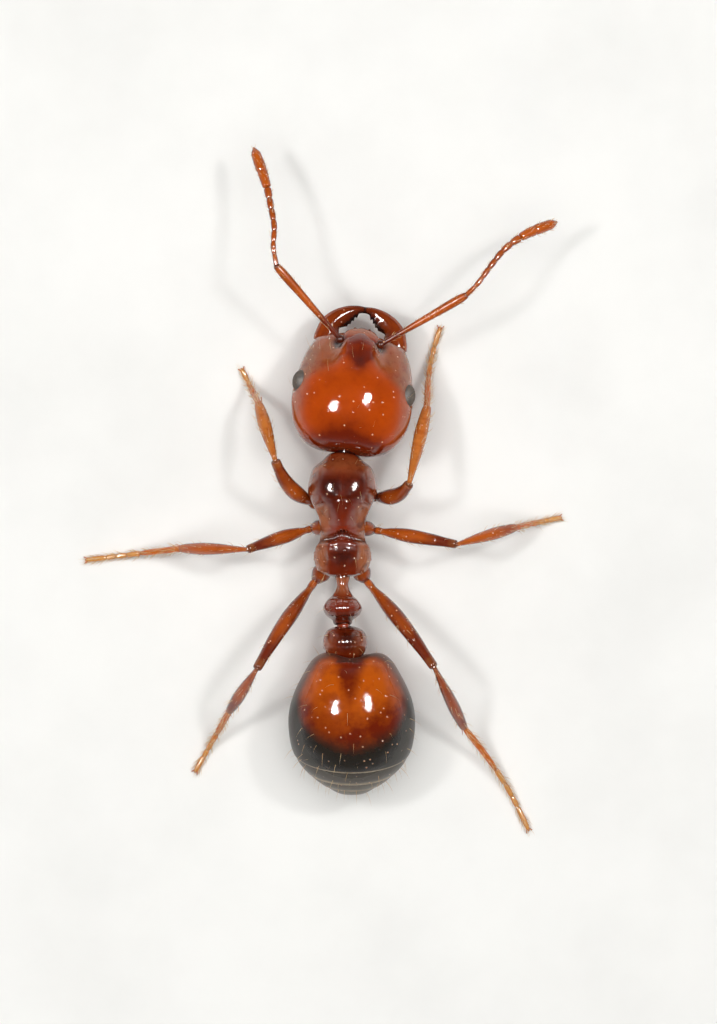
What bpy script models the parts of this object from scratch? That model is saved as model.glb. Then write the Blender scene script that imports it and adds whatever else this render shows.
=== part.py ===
"""A fire ant worker at life size, standing: plates, eyes, mandibles, antennae and legs.

The ant stands on Z = 0 and faces +Y. Every size below is in millimetres and every shape is made
in millimetres; stand_in_metres() shrinks the finished meshes and moves the origin to the middle
of the ant's footprint. Body places are measured from the waist line of the thorax.
"""

import math

import bmesh
import bpy
import numpy as np
from mathutils import Matrix, Vector

MM = 0.001
GAP = 0.012          # clearance left wherever two plates meet
HAIR = 0.0005        # closest two points of one cut face may lie

# Head: its middle, how it is turned and its three sizes.
HEAD_PLACE = (0.125, 1.73, 0.84)
HEAD_YAW = math.radians(-8)
HEAD_PITCH = math.radians(-10)
HEAD_LENGTH = 1.50
HEAD_WIDTH = 1.44
HEAD_HEIGHT = 0.98

# Thorax, waist and gaster: sizes over all.
THORAX_FRONT = 1.05
THORAX_LENGTH = 1.50
THORAX_WIDTH = 0.82
THORAX_TOP = 1.24
THORAX_BOTTOM = 0.42
PETIOLE_WIDTH = 0.455
POSTPETIOLE_WIDTH = 0.53
GASTER_PLACE = (0.11, -1.34, 0.82)
GASTER_LENGTH = 1.70
GASTER_WIDTH = 1.51
GASTER_HEIGHT = 1.24
THORAX_SEAMS = (0.40, 0.03)
TERGITE_EDGES = ((-2.795, 1.27, 0.53), (-2.95, 1.10, 0.48), (-3.02, 0.95, 0.41))

EYE_SIZE = (0.21, 0.31, 0.26)
EYE_PLACE = (0.635, 0.05, 0.10)

# Legs: hip, knee, ankle and toe of each. The toe's height is the floor's.
LEGS = {
    "front_left": ((-0.32, 0.41, 0.44), (-0.80, 0.95, 1.12), (-1.00, 1.62, 0.66), (-1.21, 2.05, 0.0)),
    "front_right": ((0.35, 0.51, 0.44), (0.79, 0.67, 1.18), (1.01, 1.59, 0.62), (1.17, 2.55, 0.0)),
    "mid_left": ((-0.36, 0.14, 0.42), (-1.13, -0.11, 1.00), (-1.93, -0.10, 0.36), (-3.08, -0.24, 0.0)),
    "mid_right": ((0.37, 0.12, 0.42), (1.36, -0.05, 1.02), (2.06, 0.15, 0.46), (2.62, 0.27, 0.0)),
    "hind_left": ((-0.32, -0.48, 0.46), (-1.02, -1.53, 1.26), (-1.35, -2.04, 0.56), (-1.77, -2.78, 0.0)),
    "hind_right": ((0.27, -0.47, 0.46), (1.09, -1.51, 1.22), (1.45, -2.24, 0.44), (2.23, -3.48, 0.0)),
}
HIP_SOCKETS = {"front": (0.20, 0.66, 0.66), "mid": (0.20, 0.16, 0.62), "hind": (0.18, -0.30, 0.62)}
COXA_WIDTHS = {"front": 0.27, "mid": 0.185, "hind": 0.225}
# The bows say how far the middle of a femur or foot lies off the straight line. +X is outwards for femora.
FEMUR_BOW = {"front": (0.05, -0.065, 0.08), "mid": (0.03, 0.0, 0.03), "hind": (0.03, 0.0, 0.03)}
FEMUR_WIDTHS = {"front": 0.19, "mid": 0.165, "hind": 0.18}
TIBIA_WIDTHS = {"front": 0.16, "mid": 0.148, "hind": 0.146}
TARSUS_WIDTH = 0.076
FOOT_BOW = {"front_right": (-0.045, 0.0, 0.0), "hind_right": (0.055, 0.02, 0.0)}
TOUCH_DOWN = 0.8     # share of the foot's length at which it reaches the floor
SOLE_DEPTH = 0.3     # height of the foot's axis over the floor there, as a share of its width

# Antennae: the elbow and the points of the lash beyond it. Scapes start from the head.
ANTENNAE = {
    "left": (
        (-0.78, 3.25, 1.30),
        (-0.82, 3.48, 1.27),
        (-0.81, 3.72, 1.20),
        (-0.85, 3.96, 1.11),
        (-0.91, 4.24, 0.99),
        (-1.06, 4.68, 0.80),
    ),
    "right": (
        (1.46, 2.90, 1.30),
        (1.60, 3.04, 1.28),
        (1.74, 3.23, 1.22),
        (1.93, 3.46, 1.12),
        (2.17, 3.63, 1.00),
        (2.56, 3.79, 0.82),
    ),
}
SCAPE_ROOT = (0.255, 0.60, 0.30)
SCAPE_WIDTH = 0.100
LASH_WIDTH = 0.082

# Shapes as shares of a part's sizes: place along it, width, top and bottom of each section.
HEAD_SECTIONS = (
    (0.00, 0.00, 0.00, 0.00),
    (0.015, 0.42, 0.34, -0.30),
    (0.06, 0.66, 0.58, -0.52),
    (0.13, 0.81, 0.76, -0.70),
    (0.24, 0.94, 0.92, -0.86),
    (0.38, 1.00, 1.00, -0.95),
    (0.54, 0.985, 1.00, -0.98),
    (0.70, 0.925, 0.86, -0.94),
    (0.84, 0.83, 0.62, -0.80),
    (0.92, 0.70, 0.44, -0.62),
    (0.98, 0.40, 0.24, -0.42),
    (1.00, 0.00, -0.05, -0.05),
)
THORAX_SECTIONS = (
    (0.00, 0.00, 0.45, 0.45),
    (0.01, 0.36, 0.60, 0.28),
    (0.07, 0.60, 0.75, 0.16),
    (0.13, 0.85, 0.87, 0.09),
    (0.22, 0.97, 0.95, 0.04),
    (0.32, 1.00, 0.99, 0.01),
    (0.42, 0.86, 1.00, 0.00),
    (0.52, 0.69, 0.98, 0.00),
    (0.62, 0.64, 0.86, 0.00),
    (0.675, 0.66, 0.75, 0.00),
    (0.735, 0.76, 0.80, 0.01),
    (0.82, 0.82, 0.82, 0.02),
    (0.91, 0.77, 0.74, 0.05),
    (0.97, 0.56, 0.60, 0.12),
    (1.00, 0.00, 0.36, 0.36),
)
PETIOLE_SECTIONS = (
    (-0.465, 0.00, 0.76, 0.76),
    (-0.472, 0.34, 0.83, 0.68),
    (-0.54, 0.30, 0.85, 0.65),
    (-0.655, 0.54, 0.95, 0.62),
    (-0.715, 0.80, 1.09, 0.60),
    (-0.80, 1.00, 1.19, 0.60),
    (-0.87, 0.92, 1.13, 0.60),
    (-0.92, 0.72, 1.01, 0.61),
    (-0.955, 0.53, 0.91, 0.64),
    (-1.005, 0.45, 0.87, 0.67),
    (-1.015, 0.00, 0.77, 0.77),
)
POSTPETIOLE_SECTIONS = (
    (-1.03, 0.00, 0.78, 0.78),
    (-1.035, 0.42, 0.88, 0.68),
    (-1.09, 0.76, 0.99, 0.60),
    (-1.16, 0.95, 1.07, 0.56),
    (-1.24, 1.00, 1.08, 0.56),
    (-1.33, 0.86, 1.02, 0.60),
    (-1.41, 0.62, 0.95, 0.66),
    (-1.445, 0.48, 0.90, 0.72),
    (-1.45, 0.00, 0.80, 0.80),
)
GASTER_SECTIONS = (
    (0.075, 0.00, -0.05, -0.05),
    (0.065, 0.16, 0.14, -0.20),
    (0.020, 0.28, 0.30, -0.36),
    (0.015, 0.45, 0.46, -0.50),
    (0.055, 0.59, 0.64, -0.64),
    (0.13, 0.725, 0.79, -0.77),
    (0.22, 0.85, 0.90, -0.88),
    (0.33, 0.95, 0.97, -0.96),
    (0.46, 1.00, 1.00, -1.00),
    (0.63, 0.965, 0.95, -0.99),
    (0.73, 0.88, 0.84, -0.95),
    (0.81, 0.755, 0.69, -0.88),
    (0.89, 0.56, 0.46, -0.78),
    (0.955, 0.345, 0.16, -0.66),
    (0.988, 0.18, -0.08, -0.55),
    (1.00, 0.00, -0.34, -0.34),
)
COXA_SECTIONS = ((0.0, 0.55), (0.25, 0.92), (0.5, 1.0), (0.75, 0.80), (1.0, 0.42))
FEMUR_SECTIONS = (
    (0.0, 0.42),
    (0.07, 0.50),
    (0.16, 0.72),
    (0.36, 1.0),
    (0.62, 0.88),
    (0.86, 0.66),
    (0.96, 0.62),
    (1.0, 0.55),
)
TIBIA_SECTIONS = (
    (0.0, 0.36),
    (0.08, 0.40),
    (0.22, 0.58),
    (0.45, 0.88),
    (0.68, 1.0),
    (0.90, 0.80),
    (1.0, 0.60),
)
TARSUS_SECTIONS = ((0, 0.80), (0.04, 1.0), (0.40, 0.92), (0.60, 0.80), (0.90, 0.82), (1.0, 0.60))
LASH_SECTIONS = (
    (0.0, 0.66),
    (0.10, 0.72),
    (0.40, 0.88),
    (0.60, 1.0),
    (0.70, 1.14),
    (0.77, 1.34),
    (0.88, 1.60),
    (0.95, 1.45),
    (1.0, 0.85),
)
SCAPE_SECTIONS = ((0.0, 0.95), (0.05, 0.60), (0.20, 0.64), (0.60, 0.94), (0.86, 1.08), (1.0, 0.76))
MANDIBLE_PATH = (
    (0.42, 0.60, -0.16),
    (0.41, 0.72, -0.15),
    (0.385, 0.84, -0.14),
    (0.30, 0.95, -0.14),
    (0.18, 1.03, -0.14),
    (0.08, 1.06, -0.14),
    (-0.03, 1.065, -0.14),
)
MANDIBLE_WIDTHS = (0.28, 0.29, 0.27, 0.21, 0.13, 0.09, 0.07)

ORANGE = (0.42, 0.075, 0.012)
RED_BROWN = (0.16, 0.028, 0.010)
NEAR_BLACK = (0.020, 0.013, 0.010)
AMBER = (0.46, 0.13, 0.022)
STRAW = (0.60, 0.36, 0.13)


def shell_material(name, colour, roughness):
    material = bpy.data.materials.new(name)
    material.use_nodes = True
    shader = material.node_tree.nodes["Principled BSDF"]
    shader.inputs["Base Color"].default_value = (*colour, 1)
    shader.inputs["Roughness"].default_value = roughness
    shader.inputs["Metallic"].default_value = 0
    return material


def new_collection(name):
    collection = bpy.data.collections.new(name)
    bpy.context.scene.collection.children.link(collection)
    return collection


def add_object(name, mesh_or_curve, material, collection):
    obj = bpy.data.objects.new(name, mesh_or_curve)
    obj.data.materials.append(material)
    collection.objects.link(obj)
    return obj


def smooth_rows(rows, places):
    """The rows read at the places, each 0 to 1, along a smooth curve that passes through them all."""
    rows = np.array(rows, float)
    steps = np.linalg.norm(np.diff(rows, axis=0), axis=1) ** 0.5
    knots = np.concatenate([[0], np.cumsum(steps)])
    slopes = np.gradient(rows, knots, axis=0)
    at = np.asarray(places) * knots[-1]
    low = np.clip(np.searchsorted(knots, at, side="right") - 1, 0, len(steps) - 1)
    span = steps[low]
    t = ((at - knots[low]) / span)[:, None]
    span = span[:, None]
    return (
        (1 + 2 * t) * (1 - t) ** 2 * rows[low]
        + t * (1 - t) ** 2 * span * slopes[low]
        + t**2 * (3 - 2 * t) * rows[low + 1]
        - t**2 * (1 - t) * span * slopes[low + 1]
    )


def loft(name, sections, material, collection, sides=24, rings=22):
    """A closed body: a sphere whose rings are moved on to sections (along, half width, top, bottom)."""
    mesh = bmesh.new()
    bmesh.ops.create_uvsphere(mesh, u_segments=sides, v_segments=rings, radius=1)
    for vert in mesh.verts:
        place = math.acos(max(-1.0, min(1.0, vert.co.z))) / math.pi
        around = math.atan2(vert.co.y, vert.co.x)
        along, half, top, bottom = smooth_rows(sections, [place])[0]
        if place < 0.001 or place > 0.999:
            half, top, bottom = 0.0, (top + bottom) / 2, (top + bottom) / 2
        height = (top + bottom) / 2 + (top - bottom) / 2 * math.sin(around)
        vert.co = (half * math.cos(around), along, height)
    bmesh.ops.recalc_face_normals(mesh, faces=mesh.faces)
    data = bpy.data.meshes.new(name)
    mesh.to_mesh(data)
    mesh.free()
    data.shade_smooth()
    return add_object(name, data, material, collection)


def ellipsoid(name, size, place, material, collection):
    mesh = bmesh.new()
    bmesh.ops.create_uvsphere(mesh, u_segments=12, v_segments=8, radius=0.5)
    bmesh.ops.scale(mesh, vec=size, verts=mesh.verts)
    bmesh.ops.translate(mesh, vec=place, verts=mesh.verts)
    data = bpy.data.meshes.new(name)
    mesh.to_mesh(data)
    mesh.free()
    data.shade_smooth()
    return add_object(name, data, material, collection)


def tube(name, points, widths, material, collection):
    """A limb: a curve through the points, as thick at each as its width, turned into a closed mesh."""
    curve = bpy.data.curves.new(name, "CURVE")
    curve.dimensions = "3D"
    curve.bevel_depth = 0.5
    curve.bevel_resolution = 2
    curve.use_fill_caps = True
    spline = curve.splines.new("POLY")
    spline.points.add(len(points) - 1)
    for point, place, width in zip(spline.points, points, widths, strict=True):
        point.co = (*place, 1)
        point.radius = width
    guide = add_object(name + "_guide", curve, material, collection)
    bpy.context.view_layer.update()
    data = bpy.data.meshes.new_from_object(guide.evaluated_get(bpy.context.evaluated_depsgraph_get()))
    data.name = name
    bpy.data.objects.remove(guide)
    bpy.data.curves.remove(curve)
    mesh = bmesh.new()
    mesh.from_mesh(data)
    bmesh.ops.remove_doubles(mesh, verts=mesh.verts, dist=HAIR)
    bmesh.ops.recalc_face_normals(mesh, faces=mesh.faces)
    mesh.to_mesh(data)
    mesh.free()
    data.shade_smooth()
    obj = bpy.data.objects.new(name, data)
    collection.objects.link(obj)
    return obj


def spread(sections, width, start, end, count, bow=(0, 0, 0)):
    """Points from start to end, bowed sideways at the middle, and the width at each."""
    start, end, bow = Vector(start), Vector(end), Vector(bow)
    shares = np.array(sections)
    places = [step / (count - 1) for step in range(count)]
    points = [start.lerp(end, at) + bow * math.sin(math.pi * at) for at in places]
    return points, [width * np.interp(at, shares[:, 0], shares[:, 1]) for at in places]


def trim(obj, place, outward):
    """Cuts off what lies beyond a plane, half a gap inside it, and closes the cut."""
    outward = Vector(outward).normalized()
    mesh = bmesh.new()
    mesh.from_mesh(obj.data)
    cut = bmesh.ops.bisect_plane(
        mesh,
        geom=[*mesh.verts, *mesh.edges, *mesh.faces],
        dist=1e-5,
        plane_co=Vector(place) - outward * GAP / 2,
        plane_no=outward,
        clear_outer=True,
    )
    rim = [edge for edge in cut["geom_cut"] if isinstance(edge, bmesh.types.BMEdge)]
    bmesh.ops.holes_fill(mesh, edges=rim, sides=0)
    bmesh.ops.remove_doubles(mesh, verts=mesh.verts, dist=HAIR)
    bmesh.ops.recalc_face_normals(mesh, faces=mesh.faces)
    mesh.to_mesh(obj.data)
    mesh.free()


def part_off(obj, name, place, outward, material):
    """Splits an object at a plane. What lies beyond it becomes a new object, a gap away."""
    beyond = bpy.data.objects.new(name, obj.data.copy())
    beyond.data.materials.clear()
    beyond.data.materials.append(material)
    obj.users_collection[0].objects.link(beyond)
    trim(obj, place, outward)
    trim(beyond, place, -Vector(outward))
    return beyond


def hollow(obj, neighbour, cutters):
    """Cuts the neighbour's shape, swollen by the gap, out of the object."""
    cutter = bpy.data.objects.new(f"{neighbour.name}_from_{obj.name}", neighbour.data.copy())
    cutters.objects.link(cutter)
    cutter.hide_render = True
    cutter.display_type = "WIRE"
    swell = cutter.modifiers.new("gap", "DISPLACE")
    swell.mid_level = 0
    swell.strength = GAP
    cut = obj.modifiers.new("socket", "BOOLEAN")
    cut.operation = "DIFFERENCE"
    cut.solver = "EXACT"
    cut.object = cutter
    bpy.context.view_layer.update()
    data = bpy.data.meshes.new_from_object(obj.evaluated_get(bpy.context.evaluated_depsgraph_get()))
    obj.modifiers.remove(cut)
    bpy.data.objects.remove(cutter)
    mesh = bmesh.new()
    mesh.from_mesh(data)
    bmesh.ops.remove_doubles(mesh, verts=mesh.verts, dist=HAIR)
    bmesh.ops.dissolve_degenerate(mesh, edges=mesh.edges, dist=HAIR)
    mesh.to_mesh(data)
    mesh.free()
    obj.data = data


def scaled(sections, length, half_width, half_height, start=0.0, middle=0.0):
    """Sections given as shares, made into sizes. Length may be negative, for a body that runs back."""
    return [
        (
            start + along * length,
            half * half_width,
            middle + top * half_height,
            middle + bottom * half_height,
        )
        for along, half, top, bottom in sections
    ]


def head_frame():
    turn = Matrix.Rotation(HEAD_YAW, 4, "Z") @ Matrix.Rotation(HEAD_PITCH, 4, "X")
    return Matrix.Translation(HEAD_PLACE) @ turn


def make_head(collection, cutters, made):
    frame = head_frame()
    orange = shell_material("head_shell", ORANGE, 0.28)
    dark = shell_material("eye_facets", NEAR_BLACK, 0.2)
    sections = scaled(HEAD_SECTIONS, HEAD_LENGTH, HEAD_WIDTH / 2, HEAD_HEIGHT / 2, -HEAD_LENGTH / 2)
    head = loft("head", sections, orange, collection, 24, 22)
    for side, sign in (("left", -1), ("right", 1)):
        place = (EYE_PLACE[0] * sign, EYE_PLACE[1], EYE_PLACE[2])
        eye = ellipsoid(f"eye_{side}", EYE_SIZE, place, dark, collection)
        hollow(head, eye, cutters)
        path = smooth_rows(MANDIBLE_PATH, np.linspace(0, 1, 11)) * (sign, 1, 1)
        widths = smooth_rows([(width,) for width in MANDIBLE_WIDTHS], np.linspace(0, 1, 11))[:, 0]
        jaw = shell_material(f"mandible_{side}_shell", RED_BROWN, 0.3)
        mandible = tube(f"mandible_{side}", path, widths, jaw, collection)
        trim(mandible, (0, 0, 0), (-sign, 0, 0))
        made[eye.name] = eye
        made[mandible.name] = mandible
    made["head"] = head
    for side in ("left", "right"):
        hollow(made[f"mandible_{side}"], head, cutters)
    for name in ("head", "eye_left", "eye_right", "mandible_left", "mandible_right"):
        made[name].data.transform(frame)


def make_antennae(collection, cutters, made):
    frame = head_frame()
    for side, sign in (("left", -1), ("right", 1)):
        amber = shell_material(f"antenna_{side}_shell", AMBER, 0.35)
        root = frame @ Vector((SCAPE_ROOT[0] * sign, SCAPE_ROOT[1], SCAPE_ROOT[2]))
        lash = [Vector(point) for point in ANTENNAE[side]]
        elbow, tip = lash[0], lash[-1]
        along = (elbow - root).normalized()
        points, widths = spread(SCAPE_SECTIONS, SCAPE_WIDTH, root, elbow + along * 0.06, 9)
        scape = tube(f"antenna_{side}_scape", points, widths, amber, collection)
        fold = (along + (lash[1] - elbow).normalized()).normalized()
        trim(scape, elbow, fold)
        hollow(scape, made["head"], cutters)
        start = elbow + (elbow - lash[1]).normalized() * 0.05
        route = smooth_rows([start, *lash], np.linspace(0, 1, 16))
        shares = np.linspace(0, 1, 16)
        widths = np.interp(shares, *zip(*LASH_SECTIONS, strict=True))
        points = [Vector(point) for point in route]
        funiculus = tube(f"antenna_{side}_funiculus", points, widths * LASH_WIDTH, amber, collection)
        trim(funiculus, elbow, -fold)
        club_at = Vector(route[11])
        made[scape.name] = scape
        made[funiculus.name] = funiculus
        club = part_off(funiculus, f"antenna_{side}_club", club_at, tip - club_at, amber)
        made[club.name] = club


def make_thorax(collection, cutters, made):
    dark = shell_material("thorax_shell", RED_BROWN, 0.32)
    rear = shell_material("propodeum_shell", RED_BROWN, 0.4)
    height = THORAX_TOP - THORAX_BOTTOM
    sections = scaled(
        THORAX_SECTIONS, -THORAX_LENGTH, THORAX_WIDTH / 2, height, THORAX_FRONT, THORAX_BOTTOM
    )
    front = loft("pronotum", sections, dark, collection, 22, 26)
    middle = part_off(front, "mesothorax", (0, THORAX_SEAMS[0], 0.8), (0, -1, -0.35), dark)
    back = part_off(middle, "propodeum", (0, THORAX_SEAMS[1], 0.8), (0, -1, 0.1), rear)
    hollow(front, made["head"], cutters)
    made.update(pronotum=front, mesothorax=middle, propodeum=back)


def make_waist(collection, made):
    dark = shell_material("waist_shell", RED_BROWN, 0.35)
    for name, sections, width, across in (
        ("petiole", PETIOLE_SECTIONS, PETIOLE_WIDTH, 0.0),
        ("postpetiole", POSTPETIOLE_SECTIONS, POSTPETIOLE_WIDTH, 0.03),
    ):
        rows = [(along, half * width / 2, top, bottom) for along, half, top, bottom in sections]
        made[name] = loft(name, rows, dark, collection, 16, 14)
        made[name].data.transform(Matrix.Translation((across, 0, 0)))


def make_gaster(collection, cutters, made):
    bright = shell_material("gaster_front_shell", ORANGE, 0.22)
    dark = shell_material("gaster_rear_shell", NEAR_BLACK, 0.25)
    sections = scaled(GASTER_SECTIONS, -GASTER_LENGTH, GASTER_WIDTH / 2, GASTER_HEIGHT / 2)
    plate = loft("gaster_1", sections, bright, collection, 24, 22)
    plate.data.transform(Matrix.Translation(GASTER_PLACE))
    made["gaster_1"] = plate
    for index, (edge, height, lean) in enumerate(TERGITE_EDGES, start=2):
        plate = part_off(plate, f"gaster_{index}", (0, edge, height), (0, -1, -lean), dark)
        made[plate.name] = plate
    hollow(made["gaster_1"], made["postpetiole"], cutters)


def between(first, second, third):
    """The direction of the plane in which two limb pieces meet at the second point."""
    onward = (Vector(third) - Vector(second)).normalized()
    return (onward + (Vector(second) - Vector(first)).normalized()).normalized()


def make_leg(leg, collection, cutters, made):
    pair, side = leg.split("_")
    sign = -1 if side == "left" else 1
    amber = shell_material(f"{leg}_leg_shell", AMBER, 0.33)
    straw = shell_material(f"{leg}_tarsus_shell", STRAW, 0.4)
    hip, knee, ankle, toe = (Vector(point) for point in LEGS[leg])
    socket = Vector(HIP_SOCKETS[pair])
    socket.x *= sign
    at_hip = between(socket, hip, knee)
    at_knee = between(hip, knee, ankle)
    at_ankle = between(knee, ankle, toe)

    down = (hip - socket).normalized()
    points, widths = spread(COXA_SECTIONS, COXA_WIDTHS[pair], socket, hip + down * 0.04, 7)
    coxa = tube(f"{leg}_coxa", points, widths, amber, collection)
    trim(coxa, hip, at_hip)

    out = (knee - hip).normalized()
    bow = Vector(FEMUR_BOW[pair])
    bow.x *= sign
    start, end = hip - out * 0.04, knee + out * 0.05
    points, widths = spread(FEMUR_SECTIONS, FEMUR_WIDTHS[pair], start, end, 10, bow)
    femur = tube(f"{leg}_femur", points, widths, amber, collection)
    trim(femur, hip, -at_hip)
    trim(femur, knee, at_knee)

    out = (ankle - knee).normalized()
    start, end = knee - out * 0.05, ankle + out * 0.03
    points, widths = spread(TIBIA_SECTIONS, TIBIA_WIDTHS[pair], start, end, 8)
    tibia = tube(f"{leg}_tibia", points, widths, amber, collection)
    trim(tibia, knee, -at_knee)
    trim(tibia, ankle, at_ankle)

    points, widths = spread(TARSUS_SECTIONS, TARSUS_WIDTH, ankle, toe, 12, FOOT_BOW.get(leg, (0, 0, 0)))
    for index, point in enumerate(points):
        on_floor = SOLE_DEPTH * widths[index]
        left = max(0.0, 1 - index / (len(points) - 1) / TOUCH_DOWN)
        point.z = on_floor + (ankle.z - on_floor) * left**1.7
    start = points[0] + (points[0] - points[1]).normalized() * 0.03
    tarsus = tube(f"{leg}_tarsus", [start, *points], [widths[0], *widths], straw, collection)
    trim(tarsus, ankle, -at_ankle)
    trim(tarsus, (0, 0, -GAP / 2), (0, 0, -1))
    for piece in (coxa, femur, tibia, tarsus):
        made[piece.name] = piece
    for plate in ("pronotum", "mesothorax", "propodeum"):
        hollow(coxa, made[plate], cutters)


def stand_in_metres(made):
    """Moves the origin to the middle of the footprint and shrinks millimetres to metres."""
    corners = np.array([vert.co[:] for obj in made.values() for vert in obj.data.vertices])
    low, high = corners.min(axis=0), corners.max(axis=0)
    shift = Matrix.Translation((-(low[0] + high[0]) / 2, -(low[1] + high[1]) / 2, 0))
    for obj in made.values():
        obj.data.transform(Matrix.Scale(MM, 4) @ shift)
        obj.data.update()


def main():
    for obj in list(bpy.data.objects):
        bpy.data.objects.remove(obj)
    collection = new_collection("fire_ant")
    cutters = new_collection("fire_ant_cutters")
    made = {}
    make_head(collection, cutters, made)
    make_antennae(collection, cutters, made)
    make_thorax(collection, cutters, made)
    make_waist(collection, made)
    make_gaster(collection, cutters, made)
    for leg in LEGS:
        make_leg(leg, collection, cutters, made)
    stand_in_metres(made)


main()
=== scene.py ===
"""A life-size fire ant: glossy shell plates, faceted eyes, toothed jaws, jointed limbs and bristles.

Shapes are made in millimetres, in the body's own frame, whose origin is the waist line of the
thorax on the floor below it, with +Y forwards. finish_piece() turns each one into metres and
puts it on the frame.
"""

import itertools
import math

import bmesh
import bpy
import numpy as np
from bpy.props import FloatProperty, FloatVectorProperty, IntProperty, PointerProperty
from mathutils import Matrix, Vector


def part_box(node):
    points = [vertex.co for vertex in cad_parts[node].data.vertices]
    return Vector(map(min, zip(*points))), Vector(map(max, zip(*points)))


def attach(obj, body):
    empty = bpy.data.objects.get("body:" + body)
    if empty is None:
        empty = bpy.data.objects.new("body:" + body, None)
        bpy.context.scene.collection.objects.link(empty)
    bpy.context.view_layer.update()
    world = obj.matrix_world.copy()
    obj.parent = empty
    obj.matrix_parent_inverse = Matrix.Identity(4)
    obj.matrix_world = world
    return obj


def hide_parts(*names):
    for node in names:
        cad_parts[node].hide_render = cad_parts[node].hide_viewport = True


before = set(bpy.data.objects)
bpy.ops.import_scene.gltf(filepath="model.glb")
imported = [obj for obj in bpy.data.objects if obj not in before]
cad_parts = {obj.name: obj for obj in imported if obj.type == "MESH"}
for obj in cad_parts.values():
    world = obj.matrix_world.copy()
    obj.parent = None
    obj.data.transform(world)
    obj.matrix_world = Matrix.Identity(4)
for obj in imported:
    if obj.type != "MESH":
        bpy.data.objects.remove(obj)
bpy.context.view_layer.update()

bl_info = {
    "name": "Fire ant",
    "version": (1, 0, 0),
    "blender": (4, 5, 0),
    "location": "View3D > Sidebar > Ant",
    "description": "Builds the plates, limbs, eyes and bristles of a standing fire ant",
    "category": "Add Mesh",
}

MM = 0.001
SIDES = {"left": -1, "right": 1}
BODY = "root"

# Head: middle, turn and sizes, as on the solids.
HEAD_PLACE = (0.125, 1.73, 0.84)
HEAD_YAW = math.radians(-8)
HEAD_PITCH = math.radians(-10)
HEAD_LENGTH, HEAD_WIDTH, HEAD_HEIGHT = 1.50, 1.44, 0.98
EYE_SIZE = (0.21, 0.31, 0.26)
EYE_PLACE = (0.635, 0.05, 0.10)
MANDIBLE_PATH = (
    (0.42, 0.60, -0.16),
    (0.41, 0.72, -0.15),
    (0.385, 0.84, -0.14),
    (0.30, 0.95, -0.14),
    (0.18, 1.03, -0.14),
    (0.08, 1.06, -0.14),
    (-0.03, 1.065, -0.14),
)
MANDIBLE_WIDTHS = (0.28, 0.29, 0.27, 0.21, 0.13, 0.09, 0.07)
SCAPE_ROOT = (0.255, 0.60, 0.30)
SCAPE_WIDTH = 0.100
LASH_WIDTH = 0.082

# Thorax, waist and gaster.
THORAX_FRONT, THORAX_LENGTH, THORAX_WIDTH = 1.05, 1.50, 0.82
THORAX_TOP, THORAX_BOTTOM = 1.24, 0.42
PETIOLE_WIDTH, POSTPETIOLE_WIDTH, POSTPETIOLE_ACROSS = 0.455, 0.53, 0.03
GASTER_PLACE = (0.11, -1.34, 0.82)
GASTER_LENGTH, GASTER_WIDTH, GASTER_HEIGHT = 1.70, 1.51, 1.24
TERGITE_EDGES = ((-2.795, 1.27, 0.53), (-2.95, 1.10, 0.48), (-3.02, 0.95, 0.41))

# Legs: hip, knee, ankle and toe of each.
LEGS = {
    "front_left": ((-0.32, 0.41, 0.44), (-0.80, 0.95, 1.12), (-1.00, 1.62, 0.66), (-1.21, 2.05, 0.0)),
    "front_right": ((0.35, 0.51, 0.44), (0.79, 0.67, 1.18), (1.01, 1.59, 0.62), (1.17, 2.55, 0.0)),
    "mid_left": ((-0.36, 0.14, 0.42), (-1.13, -0.11, 1.00), (-1.93, -0.10, 0.36), (-3.08, -0.24, 0.0)),
    "mid_right": ((0.37, 0.12, 0.42), (1.36, -0.05, 1.02), (2.06, 0.15, 0.46), (2.62, 0.27, 0.0)),
    "hind_left": ((-0.32, -0.48, 0.46), (-1.02, -1.53, 1.26), (-1.35, -2.04, 0.56), (-1.77, -2.78, 0.0)),
    "hind_right": ((0.27, -0.47, 0.46), (1.09, -1.51, 1.22), (1.45, -2.24, 0.44), (2.23, -3.48, 0.0)),
}
HIP_SOCKETS = {"front": (0.20, 0.66, 0.66), "mid": (0.20, 0.16, 0.62), "hind": (0.18, -0.30, 0.62)}
COXA_WIDTHS = {"front": 0.27, "mid": 0.185, "hind": 0.225}
FEMUR_BOW = {"front": (0.05, -0.065, 0.08), "mid": (0.03, 0.0, 0.03), "hind": (0.03, 0.0, 0.03)}
FEMUR_WIDTHS = {"front": 0.19, "mid": 0.165, "hind": 0.18}
TIBIA_WIDTHS = {"front": 0.16, "mid": 0.148, "hind": 0.146}
TARSUS_WIDTH, TOUCH_DOWN = 0.076, 0.8
FOOT_BOW = {"front_right": (-0.045, 0.0, 0.0), "hind_right": (0.055, 0.02, 0.0)}

# Antennae: the elbow and the points of the lash beyond it.
ANTENNAE = {
    "left": (
        (-0.78, 3.25, 1.30),
        (-0.82, 3.48, 1.27),
        (-0.81, 3.72, 1.20),
        (-0.85, 3.96, 1.11),
        (-0.91, 4.24, 0.99),
        (-1.06, 4.68, 0.80),
    ),
    "right": (
        (1.46, 2.90, 1.30),
        (1.60, 3.04, 1.28),
        (1.74, 3.23, 1.22),
        (1.93, 3.46, 1.12),
        (2.17, 3.63, 1.00),
        (2.56, 3.79, 0.82),
    ),
}

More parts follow.
